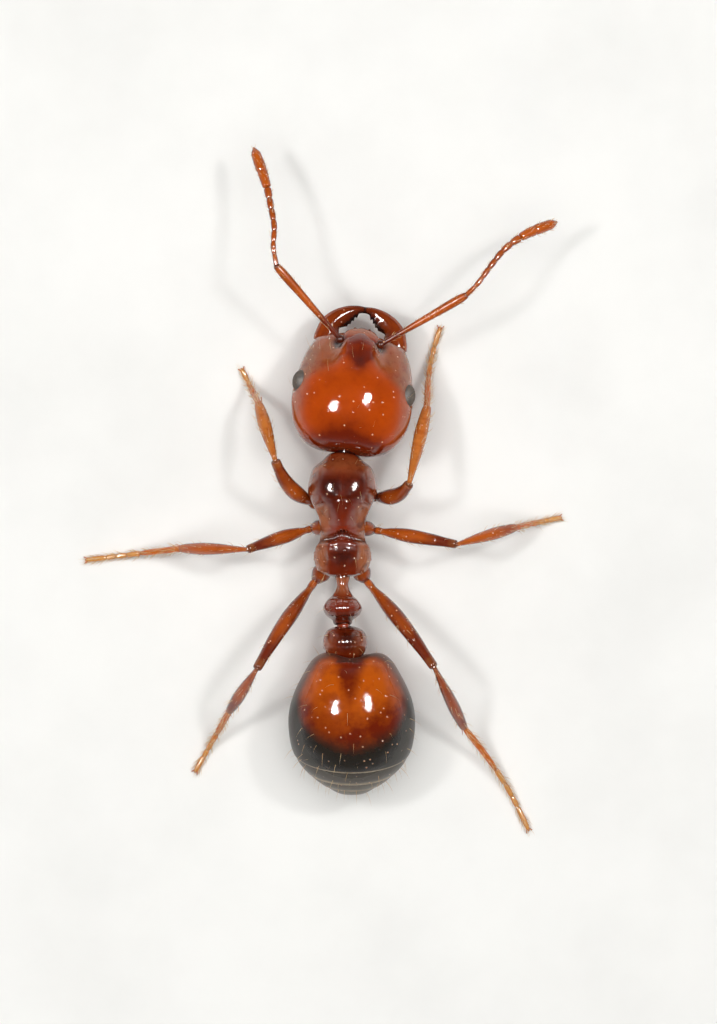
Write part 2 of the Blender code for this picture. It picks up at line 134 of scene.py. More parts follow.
# Sections as shares of a part's sizes: place along it, width, top and bottom.
# Those of the two knots give all but their widths in mm.
HEAD_SECTIONS = (
    (0.00, 0.00, 0.00, 0.00), (0.015, 0.42, 0.34, -0.30), (0.06, 0.66, 0.58, -0.52),
    (0.13, 0.81, 0.76, -0.70), (0.24, 0.94, 0.92, -0.86), (0.38, 1.00, 1.00, -0.95),
    (0.54, 0.985, 1.00, -0.98), (0.70, 0.925, 0.86, -0.94), (0.84, 0.83, 0.62, -0.80),
    (0.92, 0.70, 0.44, -0.62), (0.98, 0.40, 0.24, -0.42), (1.00, 0.00, -0.05, -0.05),
)
THORAX_SECTIONS = (
    (0.00, 0.00, 0.45, 0.45), (0.01, 0.36, 0.60, 0.28), (0.07, 0.60, 0.75, 0.16),
    (0.13, 0.85, 0.87, 0.09), (0.22, 0.97, 0.95, 0.04), (0.32, 1.00, 0.99, 0.01),
    (0.42, 0.86, 1.00, 0.00), (0.52, 0.69, 0.98, 0.00), (0.62, 0.64, 0.86, 0.00),
    (0.675, 0.66, 0.75, 0.00), (0.735, 0.76, 0.80, 0.01), (0.82, 0.82, 0.82, 0.02),
    (0.91, 0.77, 0.74, 0.05), (0.97, 0.56, 0.60, 0.12), (1.00, 0.00, 0.36, 0.36),
)
PETIOLE_SECTIONS = (
    (-0.41, 0.00, 0.76, 0.76), (-0.42, 0.38, 0.84, 0.68), (-0.54, 0.30, 0.85, 0.65),
    (-0.655, 0.54, 0.95, 0.62), (-0.715, 0.80, 1.12, 0.60), (-0.80, 1.00, 1.19, 0.60),
    (-0.87, 0.92, 1.155, 0.60), (-0.92, 0.72, 1.01, 0.61), (-0.955, 0.53, 0.91, 0.64),
    (-1.00, 0.46, 0.87, 0.67), (-1.03, 0.00, 0.77, 0.77),
)
POSTPETIOLE_SECTIONS = (
    (-1.01, 0.00, 0.78, 0.78), (-1.035, 0.52, 0.90, 0.68), (-1.085, 0.84, 1.01, 0.60),
    (-1.16, 0.98, 1.07, 0.56), (-1.24, 1.00, 1.08, 0.56), (-1.33, 0.89, 1.03, 0.60),
    (-1.41, 0.66, 0.96, 0.66), (-1.47, 0.48, 0.90, 0.72), (-1.49, 0.00, 0.80, 0.80),
)
GASTER_SECTIONS = (
    (0.075, 0.00, -0.05, -0.05), (0.065, 0.16, 0.14, -0.20), (0.020, 0.28, 0.30, -0.36),
    (0.015, 0.45, 0.46, -0.50), (0.055, 0.59, 0.64, -0.64), (0.13, 0.725, 0.79, -0.77),
    (0.22, 0.85, 0.90, -0.88), (0.33, 0.95, 0.97, -0.96), (0.46, 1.00, 1.00, -1.00),
    (0.63, 0.965, 0.95, -0.99), (0.73, 0.88, 0.84, -0.95), (0.81, 0.755, 0.69, -0.88),
    (0.89, 0.56, 0.46, -0.78), (0.955, 0.345, 0.16, -0.66), (0.988, 0.18, -0.08, -0.55),
    (1.00, 0.00, -0.34, -0.34),
)
COXA_SECTIONS = ((0.0, 0.55), (0.25, 0.92), (0.5, 1.0), (0.75, 0.80), (1.0, 0.42))
FEMUR_SECTIONS = (
    (0.0, 0.42), (0.07, 0.50), (0.16, 0.72), (0.36, 1.0), (0.62, 0.88), (0.86, 0.66), (0.96, 0.62),
    (1.0, 0.55),
)
TIBIA_SECTIONS = (
    (0.0, 0.36), (0.08, 0.40), (0.22, 0.58), (0.45, 0.88), (0.68, 1.0), (0.90, 0.80), (1.0, 0.60),
)
TARSUS_SECTIONS = ((0.0, 0.80), (0.04, 1.0), (0.40, 0.92), (0.60, 0.80), (0.90, 0.82), (1.0, 0.60))
LASH_SECTIONS = (
    (0.0, 0.66), (0.10, 0.72), (0.40, 0.88), (0.60, 1.0), (0.70, 1.14), (0.77, 1.34), (0.88, 1.60),
    (0.95, 1.45), (1.0, 0.85),
)
TARSOMERES = (0.0, 0.46, 0.60, 0.71, 0.80, 1.0)
LASH_SEGMENTS = (0.0, 0.19, 0.33, 0.46, 0.59, 0.725, 0.86, 1.0)
CLUB_SEGMENTS = (0.0, 0.40, 1.0)

# Rows along a plate and points round it.
HEAD_GRID, THORAX_GRID, GASTER_GRID = (250, 224), (280, 208), (320, 208)
PETIOLE_ROWS, POSTPETIOLE_ROWS, KNOT_COLUMNS = 200, 190, 128

# Marks that a mesh may carry, each 0 to 1.
MARKS = ("edge", "deep", "dark", "pale", "matt", "hairy")

# Bristles: their points and sides, the least and most size, how fast they narrow, and the share of
# the map that one of them takes.
STRAND_POINTS, STRAND_SIDES, STRAND_SIZES, STRAND_TAPER = 6, 4, (0.6, 1.25), 1.08
TUFT_PATCH = 0.003
BODY_BRISTLES = {"Thickness": 0.0030, "Spacing": 0.07, "Lean": 0.45}
LIMB_BRISTLES = {"Thickness": 0.0056, "Spacing": 0.014, "Lean": 1.1, "Bend": 0.3}
GASTER_BRISTLE_WIDTH = 0.0042

# Eyes: facets stand a little inside the size, and the whole eye is raised and shortened.
FACET_DOME, FACET_CROWN, EYE_FILL = 0.016, 0.62, 0.98
EYE_LIFT, EYE_LONG = 0.028, 0.92

# How narrow the dark ring at the joint of two beads is.
JOINT_SHARPNESS = 7.0

# Patterns of the shell, in repeats for each mm, and the depths of its relief in mm.
CLOUD_SCALE, PAINTED_GLINT_SCALE, DRIFT_SCALE = 2.4, 3.0, 5.5
MOTTLE_SCALE, FLECK_SCALE, GRAIN_SCALE = 7.5, 15.0, 20.0
GASTER_DRIFT_SCALE, GASTER_CLOUD_SCALE, GASTER_GRAIN_SCALE = 3.4, 4.2, 19.0
EYE_SCALE, BRISTLE_SCALE, FLOOR_SCALE = 18.0, 14.0, 0.4
WAVE_SCALE, PIT_SCALE, NET_SCALE = 7.0, 10.0, 70.0
WAVE_DEPTH, PIT_DEPTH, NET_DEPTH = 0.0045, 0.007, 0.0004
SHELL_IOR, SHELL_COAT, SHELL_SOFTNESS = 1.56, 0.35, 0.12
SOFT_RADII, SOFT_DEPTH = (1.0, 0.35, 0.12), 0.12 * MM
GASTER_GLOSS, EYE_GLOSS, BRISTLE_GLOSS, FLOOR_GLOSS = 0.06, 0.62, 0.32, 0.85


def head_frame():
    """The matrix that puts what is made in the head's own frame into the body's."""
    turn = Matrix.Rotation(HEAD_YAW, 4, "Z") @ Matrix.Rotation(HEAD_PITCH, 4, "X")
    return Matrix.Translation(HEAD_PLACE) @ turn


def frame_shift():
    """How far the solids' origin lies from the body's own, found from the left eye."""
    low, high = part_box("eye_left")
    eye = head_frame() @ Vector((-EYE_PLACE[0], EYE_PLACE[1], EYE_PLACE[2]))
    return (low + high) / 2 / MM - eye


SHIFT = frame_shift()


# ---------------------------------------------------------------- shapes


def smooth_rows(rows, places):
    """The rows read at the places, each 0 to 1, along a smooth curve that passes through them all."""
    rows = np.array(rows, float)
    steps = np.linalg.norm(np.diff(rows, axis=0), axis=1) ** 0.5
    knots = np.concatenate([[0], np.cumsum(steps)])
    slopes = np.gradient(rows, knots, axis=0)
    at = np.asarray(places) * knots[-1]
    low = np.clip(np.searchsorted(knots, at, side="right") - 1, 0, len(steps) - 1)
    span = steps[low]
    t = ((at - knots[low]) / span)[:, None]
    span = span[:, None]
    return (
        (1 + 2 * t) * (1 - t) ** 2 * rows[low]
        + t * (1 - t) ** 2 * span * slopes[low]
        + t**2 * (3 - 2 * t) * rows[low + 1]
        - t**2 * (1 - t) * span * slopes[low + 1]
    )


def scaled(sections, start, length, width, height):
    """Sections given as shares, in mm: length along Y from the start, and half widths and heights."""
    return [
        (start + along * length, half * width / 2, top * height / 2, bottom * height / 2)
        for along, half, top, bottom in sections
    ]


def spot(points, centre, radii):
    """A soft blob: 1 at the centre, fading over the radii."""
    return np.exp(-0.5 * (((points - np.array(centre)) / np.array(radii)) ** 2).sum(axis=-1))


def seam(points, line, width):
    """A soft stripe along a line of points: 1 on it, fading over the width."""
    nearest = np.full(points.shape[:-1], 1e9)
    for start, end in zip(np.array(line[:-1], float), np.array(line[1:], float), strict=True):
        along = end - start
        share = np.clip((points - start) @ along / (along @ along), 0, 1)
        gap = points - start - share[..., None] * along
        nearest = np.minimum(nearest, (gap**2).sum(axis=-1))
    return np.exp(-nearest / width**2)


def layers(points, features, **masks):
    """The sum of soft features, each of them its strength, its place, its size and perhaps a mask's name.

    A blob's place is its centre and its size three radii. A stripe's are its line and its width.
    """
    total = np.zeros(points.shape[:-1])
    for strength, place, size, *names in features.values():
        soft = seam(points, place, size) if isinstance(size, float) else spot(points, place, size)
        for name in names:
            soft = soft * masks[name]
        total += strength * soft
    return total


def bell(values, width):
    """1 where the value is 0, fading over the width to both sides."""
    return np.exp(-((values / width) ** 2))


def waves(phase):
    """Waves between 0 and 1."""
    return 0.5 + 0.5 * np.cos(phase)


def rise(values, low, high):
    """0 below low, 1 above high, smooth between."""
    share = np.clip((values - low) / (high - low), 0, 1)
    return share * share * (3 - 2 * share)


def fall(values, low, high):
    """1 below low, 0 above high, smooth between."""
    return 1 - rise(values, low, high)


def band(values, start, full, wane, end):
    """0 before the start and past the end, 1 from full to wane, smooth between."""
    return rise(values, start, full) * fall(values, wane, end)


class Grid:
    """A closed surface: rows of points from one end to the other, each row running once round."""

    def __init__(self, points):
        self.points = np.array(points, float)
        self.marks = {}

    @property
    def mirrored(self):
        """The points with both sides folded on to +X, for features that come in pairs."""
        return np.abs(self.points * (1, 0, 0)) + self.points * (0, 1, 1)

    def normals(self):
        round_step = np.roll(self.points, -1, axis=1) - np.roll(self.points, 1, axis=1)
        along_step = np.gradient(self.points, axis=0)
        normal = np.cross(round_step, along_step)
        size = np.linalg.norm(normal, axis=-1, keepdims=True)
        normal = normal / np.maximum(size, 1e-12)
        outward = (self.points - self.points.mean(axis=1, keepdims=True)) * normal
        return normal if outward.sum() > 0 else -normal

    def push(self, amount):
        self.points = self.points + self.normals() * np.asarray(amount)[..., None]
        return self

    def turn(self, matrix):
        matrix = np.array(matrix)
        self.points = self.points @ matrix[:3, :3].T + matrix[:3, 3]
        return self

    def mark(self, name, values):
        """Keeps a value of 0 to 1 at each point, which a material or a bristle tree reads by its name."""
        self.marks[name] = np.broadcast_to(np.clip(values, 0.0, 1.0), self.points.shape[:2])
        return self

    def forwards(self):
        """The direction in which the rows run, at each point. Bristles lie along it."""
        ahead = unit(np.gradient(self.points.mean(axis=1), axis=0))
        return np.repeat(ahead[:, None], self.points.shape[1], axis=1)

    def mesh(self, name):
        """The grid as a closed mesh, with a fan at each end, its map and its marks."""
        rows, columns = self.points.shape[:2]
        ends = np.array([self.points[0].mean(axis=0), self.points[-1].mean(axis=0)])
        places = np.concatenate([self.points.reshape(-1, 3), ends])
        row, column = np.divmod(np.arange((rows - 1) * columns), columns)
        after = (column + 1) % columns
        low, high = row * columns, (row + 1) * columns
        quads = np.stack([low + column, low + after, high + after, high + column], 1)
        spin = np.arange(columns)
        ahead = (spin + 1) % columns
        first, base = np.full(columns, rows * columns), (rows - 1) * columns
        near_fan = np.stack([first, ahead, spin], 1)
        far_fan = np.stack([first + 1, base + spin, base + ahead], 1)
        corners = np.concatenate([quads.ravel(), near_fan.ravel(), far_fan.ravel()])
        data = bare_mesh(name, places, corners, [4] * len(quads) + [3] * 2 * columns)

        near, far = (row + 0.5) / rows, (row + 1.5) / rows
        left, right = column / columns, (column + 1) / columns
        quad_map = np.stack([left, near, right, near, right, far, left, far], 1)
        rim, none, full = np.full(columns, 0.5 / rows), np.zeros(columns), np.ones(columns)
        middle, back, front = (spin + 0.5) / columns, spin / columns, (spin + 1) / columns
        near_map = np.stack([middle, none, front, rim, back, rim], 1)
        far_map = np.stack([middle, full, back, 1 - rim, front, 1 - rim], 1)
        spread = np.concatenate([quad_map.ravel(), near_map.ravel(), far_map.ravel()])
        data.uv_layers.new(name="OFBake").uv.foreach_set("vector", spread)

        marks = {"lie": (self.forwards().reshape(-1, 3), 3)}
        marks.update({label: (values.reshape(-1, 1), 1) for label, values in self.marks.items()})
        for label, (values, width) in marks.items():
            at_ends = np.stack([values[:columns].mean(axis=0), values[-columns:].mean(axis=0)])
            set_mark(data, label, np.concatenate([values, at_ends]), width)
        if volume(data) < 0:
            data.flip_normals()
        return data


def bare_mesh(name, places, corners, counts):
    """A mesh from points, the point of each face corner, and each face's number of corners."""
    data = bpy.data.meshes.new(name)
    data.vertices.add(len(places))
    data.vertices.foreach_set("co", np.ravel(places).astype(np.float32))
    data.loops.add(len(corners))
    data.loops.foreach_set("vertex_index", np.asarray(corners, np.int32))
    data.polygons.add(len(counts))
    starts = np.concatenate([[0], np.cumsum(counts)[:-1]])
    data.polygons.foreach_set("loop_start", starts.astype(np.int32))
    data.update(calc_edges=True)
    data.shade_smooth()
    return data


def set_mark(data, label, values, width):
    """Stores a number or a vector for each point of a mesh."""
    kind, key = ("FLOAT", "value") if width == 1 else ("FLOAT_VECTOR", "vector")
    attribute = data.attributes.new(label, kind, "POINT")
    attribute.data.foreach_set(key, np.ravel(values).astype(np.float32))


def read(collection, key, width, kind=np.float32):
    """One value, or a row of them, from each item of a collection of mesh data."""
    values = np.empty(len(collection) * width, kind)
    collection.foreach_get(key, values)
    return values.reshape(-1, width) if width > 1 else values


def volume(data):
    """The signed volume of a closed mesh: below 0 if its faces point inwards."""
    mesh = bmesh.new()
    mesh.from_mesh(data)
    amount = mesh.calc_volume(signed=True)
    mesh.free()
    return amount


def merged(name, shapes):
    """One mesh of several grids and meshes, which keeps their map, marks and the way bristles lie."""
    places, corners, counts, maps = [], [], [], []
    marks = {label: [] for label in (*MARKS, "lie")}
    for shape in shapes:
        data = shape.mesh(name) if isinstance(shape, Grid) else shape
        before = sum(len(group) for group in places)
        places.append(read(data.vertices, "co", 3))
        corners.append(read(data.loops, "vertex_index", 1, np.int32) + before)
        counts.append(read(data.polygons, "loop_total", 1, np.int32))
        maps.append(read(data.attributes["OFBake"].data, "vector", 2))
        for label, found in marks.items():
            width = 3 if label == "lie" else 1
            if label in data.attributes:
                key = "vector" if width == 3 else "value"
                found.append(read(data.attributes[label].data, key, width).reshape(-1, width))
            else:
                found.append(np.zeros((len(data.vertices), width)))
        bpy.data.meshes.remove(data)
    whole = bare_mesh(name, np.concatenate(places), np.concatenate(corners), np.concatenate(counts))
    whole.uv_layers.new(name="OFBake").uv.foreach_set("vector", np.concatenate(maps).ravel())
    for label, found in marks.items():
        set_mark(whole, label, np.concatenate(found), found[0].shape[1])
    return whole


def loft(sections, rows, columns, waist=None):
    """A grid through sections of (along Y, half width, top, bottom). waist narrows each section's top."""
    places = np.linspace(0, 1, rows)
    along, half, top, bottom = smooth_rows(sections, places).T
    half[[0, -1]] = 0
    around = np.arange(columns) / columns * 2 * math.pi
    middle, reach = (top + bottom) / 2, (top - bottom) / 2
    reach[[0, -1]] = 0
    wide = np.outer(half, np.cos(around))
    if waist is not None:
        wide = wide * (1 - np.outer(waist(along), np.maximum(0, np.sin(around)) ** 2))
    high = middle[:, None] + np.outer(reach, np.sin(around))
    return Grid(np.stack([wide, np.repeat(along[:, None], columns, 1), high], axis=-1))


def unit(vector):
    """The vector, or each vector in a row of them, at length 1."""
    vector = np.asarray(vector, float)
    return vector / np.maximum(np.linalg.norm(vector, axis=-1, keepdims=True), 1e-12)


def sweep(path, wide, deep, side, columns):
    """A grid of ellipses along a path: wide across the side direction, deep across the other."""
    path = np.array(path, float)
    ahead = unit(np.gradient(path, axis=0))
    across = unit(side - (ahead @ np.asarray(side, float))[:, None] * ahead)
    upward = np.cross(ahead, across)
    around = np.arange(columns) / columns * 2 * math.pi
    ring = across[:, None] * np.cos(around)[None, :, None] * np.asarray(wide)[:, None, None] / 2
    ring = ring + upward[:, None] * np.sin(around)[None, :, None] * np.asarray(deep)[:, None, None] / 2
    return Grid(path[:, None] + ring)


def rounded(count, cap=0.03):
    """Places along a limb, packed close near its ends, and the share that rounds the ends off."""
    places = 0.5 - 0.5 * np.cos(np.linspace(0, math.pi, count))
    inner = np.clip(np.minimum(places, 1 - places) / cap, 0, 1)
    return places, np.sqrt(np.maximum(0, 1 - (1 - inner) ** 2))


def profile(sections, places):
    """A limb's width at the places along it, each a share, read off its sections."""
    table = np.array(sections)
    order = smooth_rows(table, np.linspace(0, 1, 400))
    return np.interp(places, order[:, 0], order[:, 1])


def limb(start, end, sections, width, side, bow=(0, 0, 0), flat=0.86, rows=90, columns=28, cap=0.03):
    """One limb piece from start to end, bowed at its middle, with rounded ends."""
    places, closing = rounded(rows, cap)
    start, end = np.array(start, float), np.array(end, float)
    path = start + (end - start) * places[:, None]
    path = path + np.array(bow, float) * np.sin(math.pi * places)[:, None]
    thick = profile(sections, places) * width * closing
    grid = sweep(path, thick * flat, thick, side, columns)
    grid.along = np.repeat(places[:, None], columns, 1)
    return grid


# ---------------------------------------------------------------- node trees


class Shade:
    """A value in a node tree. Arithmetic on it adds Math nodes."""

    def __init__(self, wiring, socket):
        self.wiring = wiring
        self.socket = socket

    def maths(self, operation, *values):
        return self.wiring.add("ShaderNodeMath", dict(enumerate(values)), operation=operation)

    def __add__(self, other):
        return self.maths("ADD", self, other)

    __radd__ = __add__

    def __sub__(self, other):
        return self.maths("SUBTRACT", self, other)

    def __rsub__(self, other):
        return self.maths("SUBTRACT", other, self)

    def __mul__(self, other):
        return self.maths("MULTIPLY", self, other)

    __rmul__ = __mul__

    def __pow__(self, other):
        return self.maths("POWER", self, other)

    def __abs__(self):
        return self.maths("ABSOLUTE", self)

    def between(self, low, high):
        """0 where the value is below low, 1 above high, smooth between."""
        inputs = {"Value": self, "From Min": low, "From Max": high}
        return self.wiring.add("ShaderNodeMapRange", inputs, interpolation_type="SMOOTHSTEP")

    def at_most(self, other):
        return self.maths("MINIMUM", self, other)

    def at_least(self, other):
        return self.maths("MAXIMUM", self, other)


class Wiring:
    """A node tree that is filled from Python expressions."""

    def __init__(self, tree):
        self.tree = tree

    def node(self, kind, inputs=None, **settings):
        """A node. Its settings are set first, then the values or links of its sockets."""
        node = self.tree.nodes.new(kind)
        for key, value in settings.items():
            setattr(node, key, value)
        for key, value in (inputs or {}).items():
            self.feed(node.inputs[key], value)
        return node

    def add(self, kind, inputs=None, output=0, **settings):
        """A node, of which one output is given back."""
        return Shade(self, self.node(kind, inputs, **settings).outputs[output])

    def feed(self, socket, value):
        if isinstance(value, Shade):
            self.tree.links.new(value.socket, socket)
        else:
            socket.default_value = value

    def vectors(self, operation, first, second):
        key = "Scale" if operation == "SCALE" else 1
        return self.add("ShaderNodeVectorMath", {0: first, key: second}, operation=operation)


class Nodes(Wiring):
    """The shader tree of one material."""

    def __init__(self, name):
        self.material = bpy.data.materials.new(name)
        self.material.use_nodes = True
        super().__init__(self.material.node_tree)
        self.shader = self.tree.nodes["Principled BSDF"]

    def place(self):
        """Object coordinates in millimetres, from the body's own origin."""
        metres = self.add("ShaderNodeTexCoord", output="Object")
        return self.vectors("SUBTRACT", self.vectors("SCALE", metres, 1 / MM), SHIFT)

    def noise(self, vector, scale, detail=3.0, roughness=0.55):
        inputs = {"Vector": vector, "Scale": scale, "Detail": detail, "Roughness": roughness}
        return self.add("ShaderNodeTexNoise", inputs)

    def cells(self, vector, scale):
        return self.add("ShaderNodeTexVoronoi", {"Vector": vector, "Scale": scale})

    def attribute(self, name):
        return self.add("ShaderNodeAttribute", output="Fac", attribute_name=name)

    def blend(self, share, first, second):
        """Two colours mixed by a share. Their sockets are 6 and 7 of the node, and its colour is output 2."""
        first, second = (value if isinstance(value, Shade) else (*value, 1) for value in (first, second))
        return self.add("ShaderNodeMix", {0: share, 6: first, 7: second}, 2, data_type="RGBA")

    def bump(self, height, depth, under=None):
        inputs = {"Height": height, "Distance": depth * MM, "Strength": 1.0}
        if under is not None:
            inputs["Normal"] = under
        return self.add("ShaderNodeBump", inputs)

    def surface(self, colour, roughness, normal=None, soft=0.0, coat=0.0, coat_gloss=0.04, ior=1.5):
        """Sets the surface: a skin that may be clear-coated and let a little light into it."""
        inputs = self.shader.inputs
        self.feed(inputs["Base Color"], colour)
        self.feed(inputs["Roughness"], roughness)
        if normal is not None:
            self.feed(inputs["Normal"], normal)
        inputs["IOR"].default_value = ior
        inputs["Subsurface Weight"].default_value = soft
        inputs["Subsurface Radius"].default_value = SOFT_RADII
        inputs["Subsurface Scale"].default_value = SOFT_DEPTH
        self.feed(inputs["Coat Weight"], coat)
        inputs["Coat Roughness"].default_value = coat_gloss
        return self.material


class Tree(Wiring):
    """A geometry tree with named inputs. Each is given as its default, or as its kind if it has none."""

    kinds = {float: "Float", int: "Int", tuple: "Vector"}

    def __init__(self, name, **inputs):
        super().__init__(bpy.data.node_groups.new(name, "GeometryNodeTree"))
        for label, value in inputs.items():
            kind = self.kinds.get(type(value), value)
            socket = self.tree.interface.new_socket(label, in_out="INPUT", socket_type=f"NodeSocket{kind}")
            if kind != value:
                socket.default_value = value
        self.tree.interface.new_socket("Geometry", in_out="OUTPUT", socket_type="NodeSocketGeometry")
        self.given = self.tree.nodes.new("NodeGroupInput")

    def __getitem__(self, label):
        return Shade(self, self.given.outputs[label])

    def named(self, label, kind="FLOAT"):
        return self.add("GeometryNodeInputNamedAttribute", {"Name": label}, data_type=kind)

    def keep(self, geometry, label, value, kind="FLOAT", domain="POINT"):
        inputs = {"Geometry": geometry, "Name": label, "Value": value}
        return self.add("GeometryNodeStoreNamedAttribute", inputs, data_type=kind, domain=domain)

    def mapped(self, geometry, across, along, start=None, size=1.0):
        """The geometry with its OFBake map: across and along, shrunk to a size, from a start."""
        place = self.vectors("SCALE", self.add("ShaderNodeCombineXYZ", {"X": across, "Y": along}), size)
        if start is not None:
            place = self.vectors("ADD", start, place)
        return self.keep(geometry, "OFBake", place, "FLOAT2", "CORNER")

    def end(self, geometry):
        """Realises what the tree has made, gives it the Material input and ends the tree."""
        whole = self.add("GeometryNodeRealizeInstances", {"Geometry": geometry})
        whole = self.add("GeometryNodeSetMaterial", {"Geometry": whole, "Material": self["Material"]})
        self.node("NodeGroupOutput", {"Geometry": whole})
        return self.tree


# ---------------------------------------------------------------- pieces


def add_object(name, data):
    """A new object in the scene."""
    obj = bpy.data.objects.new(name, data)
    bpy.context.scene.collection.objects.link(obj)
    return obj


def finish_piece(obj, slot, *nodes):
    obj.data.transform(Matrix.Scale(MM, 4) @ Matrix.Translation(SHIFT))
    obj.data.update()
    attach(obj, BODY)
    if nodes:
        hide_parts(*nodes)
    return obj


def piece(name, shapes, look, slot, *nodes):
    """One object of one or more closed shapes, with its finish, put on the frame."""
    data = merged(name, shapes)
    data.materials.append(finish(look))
    return finish_piece(add_object(name, data), slot, *nodes)


# ---------------------------------------------------------------- bristles, facets and beads


def bristle_tree():
    """Tapered, bent bristles, scattered over a skin where its hairy mark allows."""
    tree = Tree(
        "bristles",
        Skin="Geometry",
        Spacing=0.08,
        Density=400.0,
        Length=0.12,
        Thickness=0.004,
        Bend=0.25,
        Lean=0.4,
        Spread=0.35,
        Seed=1,
        Material="Material",
    )
    line = tree.add("GeometryNodeCurvePrimitiveLine", {"End": (0.0, 0.0, 1.0)})
    line = tree.add("GeometryNodeResampleCurve", {"Curve": line, "Count": STRAND_POINTS})
    share = tree.add("GeometryNodeSplineParameter")
    spine = tree.add("ShaderNodeCombineXYZ", {"X": share**2.0 * tree["Bend"], "Z": share})
    spine = tree.vectors("SCALE", spine, tree["Length"])
    line = tree.add("GeometryNodeSetPosition", {"Geometry": line, "Position": spine})
    taper = (STRAND_TAPER - share) * tree["Thickness"]
    line = tree.keep(line, "strand_along", share)
    ring = tree.add("GeometryNodeCurvePrimitiveCircle", {"Resolution": STRAND_SIDES, "Radius": 0.5})
    ring = tree.keep(ring, "strand_round", tree.add("GeometryNodeSplineParameter"))
    body = {"Curve": line, "Profile Curve": ring, "Scale": taper, "Fill Caps": True}
    strand = tree.add("GeometryNodeCurveToMesh", body)

    growth = {
        "Mesh": tree["Skin"],
        "Distance Min": tree["Spacing"],
        "Density Max": tree["Density"],
        "Density Factor": tree.named("hairy"),
        "Seed": tree["Seed"],
    }
    scatter = tree.node("GeometryNodeDistributePointsOnFaces", growth, distribute_method="POISSON")
    points, normal = (Shade(tree, scatter.outputs[label]) for label in ("Points", "Normal"))
    roots = tree.keep(points, "root_map", tree.named("OFBake", "FLOAT_VECTOR"), "FLOAT2")

    # A Random Value node's limits are sockets 0 and 1 for a vector, 2 and 3 for a number.
    limits = {0: (-1.0, -1.0, -1.0), 1: (1.0, 1.0, 1.0), "Seed": tree["Seed"]}
    stray = tree.add("FunctionNodeRandomValue", limits, data_type="FLOAT_VECTOR")
    lie = tree.named("lie", "FLOAT_VECTOR")
    aim = tree.vectors("ADD", normal, tree.vectors("SCALE", lie, tree["Lean"]))
    aim = tree.vectors("ADD", aim, tree.vectors("SCALE", stray, tree["Spread"]))
    stand = tree.add("FunctionNodeAlignRotationToVector", {"Vector": aim}, axis="Z")
    turned = {"Rotation": stand, "Vector": lie}
    stand = tree.add("FunctionNodeAlignRotationToVector", turned, axis="X", pivot_axis="Z")
    limits = {2: STRAND_SIZES[0], 3: STRAND_SIZES[1], "Seed": tree["Seed"]}
    size = tree.add("FunctionNodeRandomValue", limits, 1, data_type="FLOAT")
    placing = {"Points": roots, "Instance": strand, "Rotation": stand, "Scale": size}
    strands = tree.add("GeometryNodeInstanceOnPoints", placing)
    strands = tree.add("GeometryNodeRealizeInstances", {"Geometry": strands})
    root = tree.named("root_map", "FLOAT_VECTOR")
    strands = tree.mapped(strands, tree.named("strand_round"), tree.named("strand_along"), root, TUFT_PATCH)
    return tree.end(tree.add("GeometryNodeSetShadeSmooth", {"Geometry": strands}))


def facet_tree():
    """An egg of six-sided domed facets."""
    tree = Tree("facets", Size=EYE_SIZE, Fineness=4, Dome=FACET_DOME, Crown=FACET_CROWN, Material="Material")
    size = {"Radius": EYE_FILL / 2, "Subdivisions": tree["Fineness"]}
    ball = tree.add("GeometryNodeMeshIcoSphere", size)
    cells = tree.add("GeometryNodeDualMesh", {"Mesh": ball})
    raising = {"Mesh": cells, "Offset Scale": tree["Dome"], "Individual": True}
    raised = tree.node("GeometryNodeExtrudeMesh", raising, mode="FACES")
    whole, top = (Shade(tree, raised.outputs[label]) for label in ("Mesh", "Top"))
    crowning = {"Geometry": whole, "Selection": top, "Scale": tree["Crown"]}
    crowned = tree.add("GeometryNodeScaleElements", crowning, domain="FACE")
    soft = tree.add("GeometryNodeSubdivisionSurface", {"Mesh": crowned, "Level": 1})
    sized = tree.add("GeometryNodeTransform", {"Geometry": soft, "Scale": tree["Size"]})
    return tree.end(tree.add("GeometryNodeSetShadeSmooth", {"Geometry": sized}))


def chain_tree():
    """A chain of beads along a path, such as the joints of a feeler or a foot."""
    tree = Tree("chain", Path="Geometry", Waist=0.35, Sharpness=3.0, Joint=0.5, Sides=29, Material="Material")
    line = tree.add("GeometryNodeMeshToCurve", {"Mesh": tree["Path"]})
    reach = abs(tree.named("bead") * 2.0 - 1.0)
    radius = tree.named("thick") * (1.0 - reach ** tree["Sharpness"] * tree["Waist"])
    line = tree.keep(line, "edge", reach**JOINT_SHARPNESS * tree["Joint"])
    line = tree.keep(line, "chain_along", tree.add("GeometryNodeSplineParameter"))
    ring = tree.add("GeometryNodeCurveArc", {"Resolution": tree["Sides"], "Sweep Angle": 2 * math.pi})
    ring = tree.keep(ring, "chain_round", tree.add("GeometryNodeSplineParameter"))
    chain = tree.add("GeometryNodeCurveToMesh", {"Curve": line, "Profile Curve": ring, "Scale": radius})
    chain = tree.mapped(chain, tree.named("chain_round"), tree.named("chain_along"))
    chain = tree.add("GeometryNodeMergeByDistance", {"Geometry": chain, "Distance": 1e-5})
    chain = tree.add("GeometryNodeSetShadeSmooth", {"Geometry": chain})
    # Painted shade: the beads are painted deeper where they face sideways, besides the darkness given for
    # each point.
    normal = tree.add("GeometryNodeInputNormal")
    upright = abs(tree.add("ShaderNodeSeparateXYZ", {"Vector": normal}, "Z"))
    return tree.end(tree.keep(chain, "deep", 1.0 - upright + tree.named("shade")))


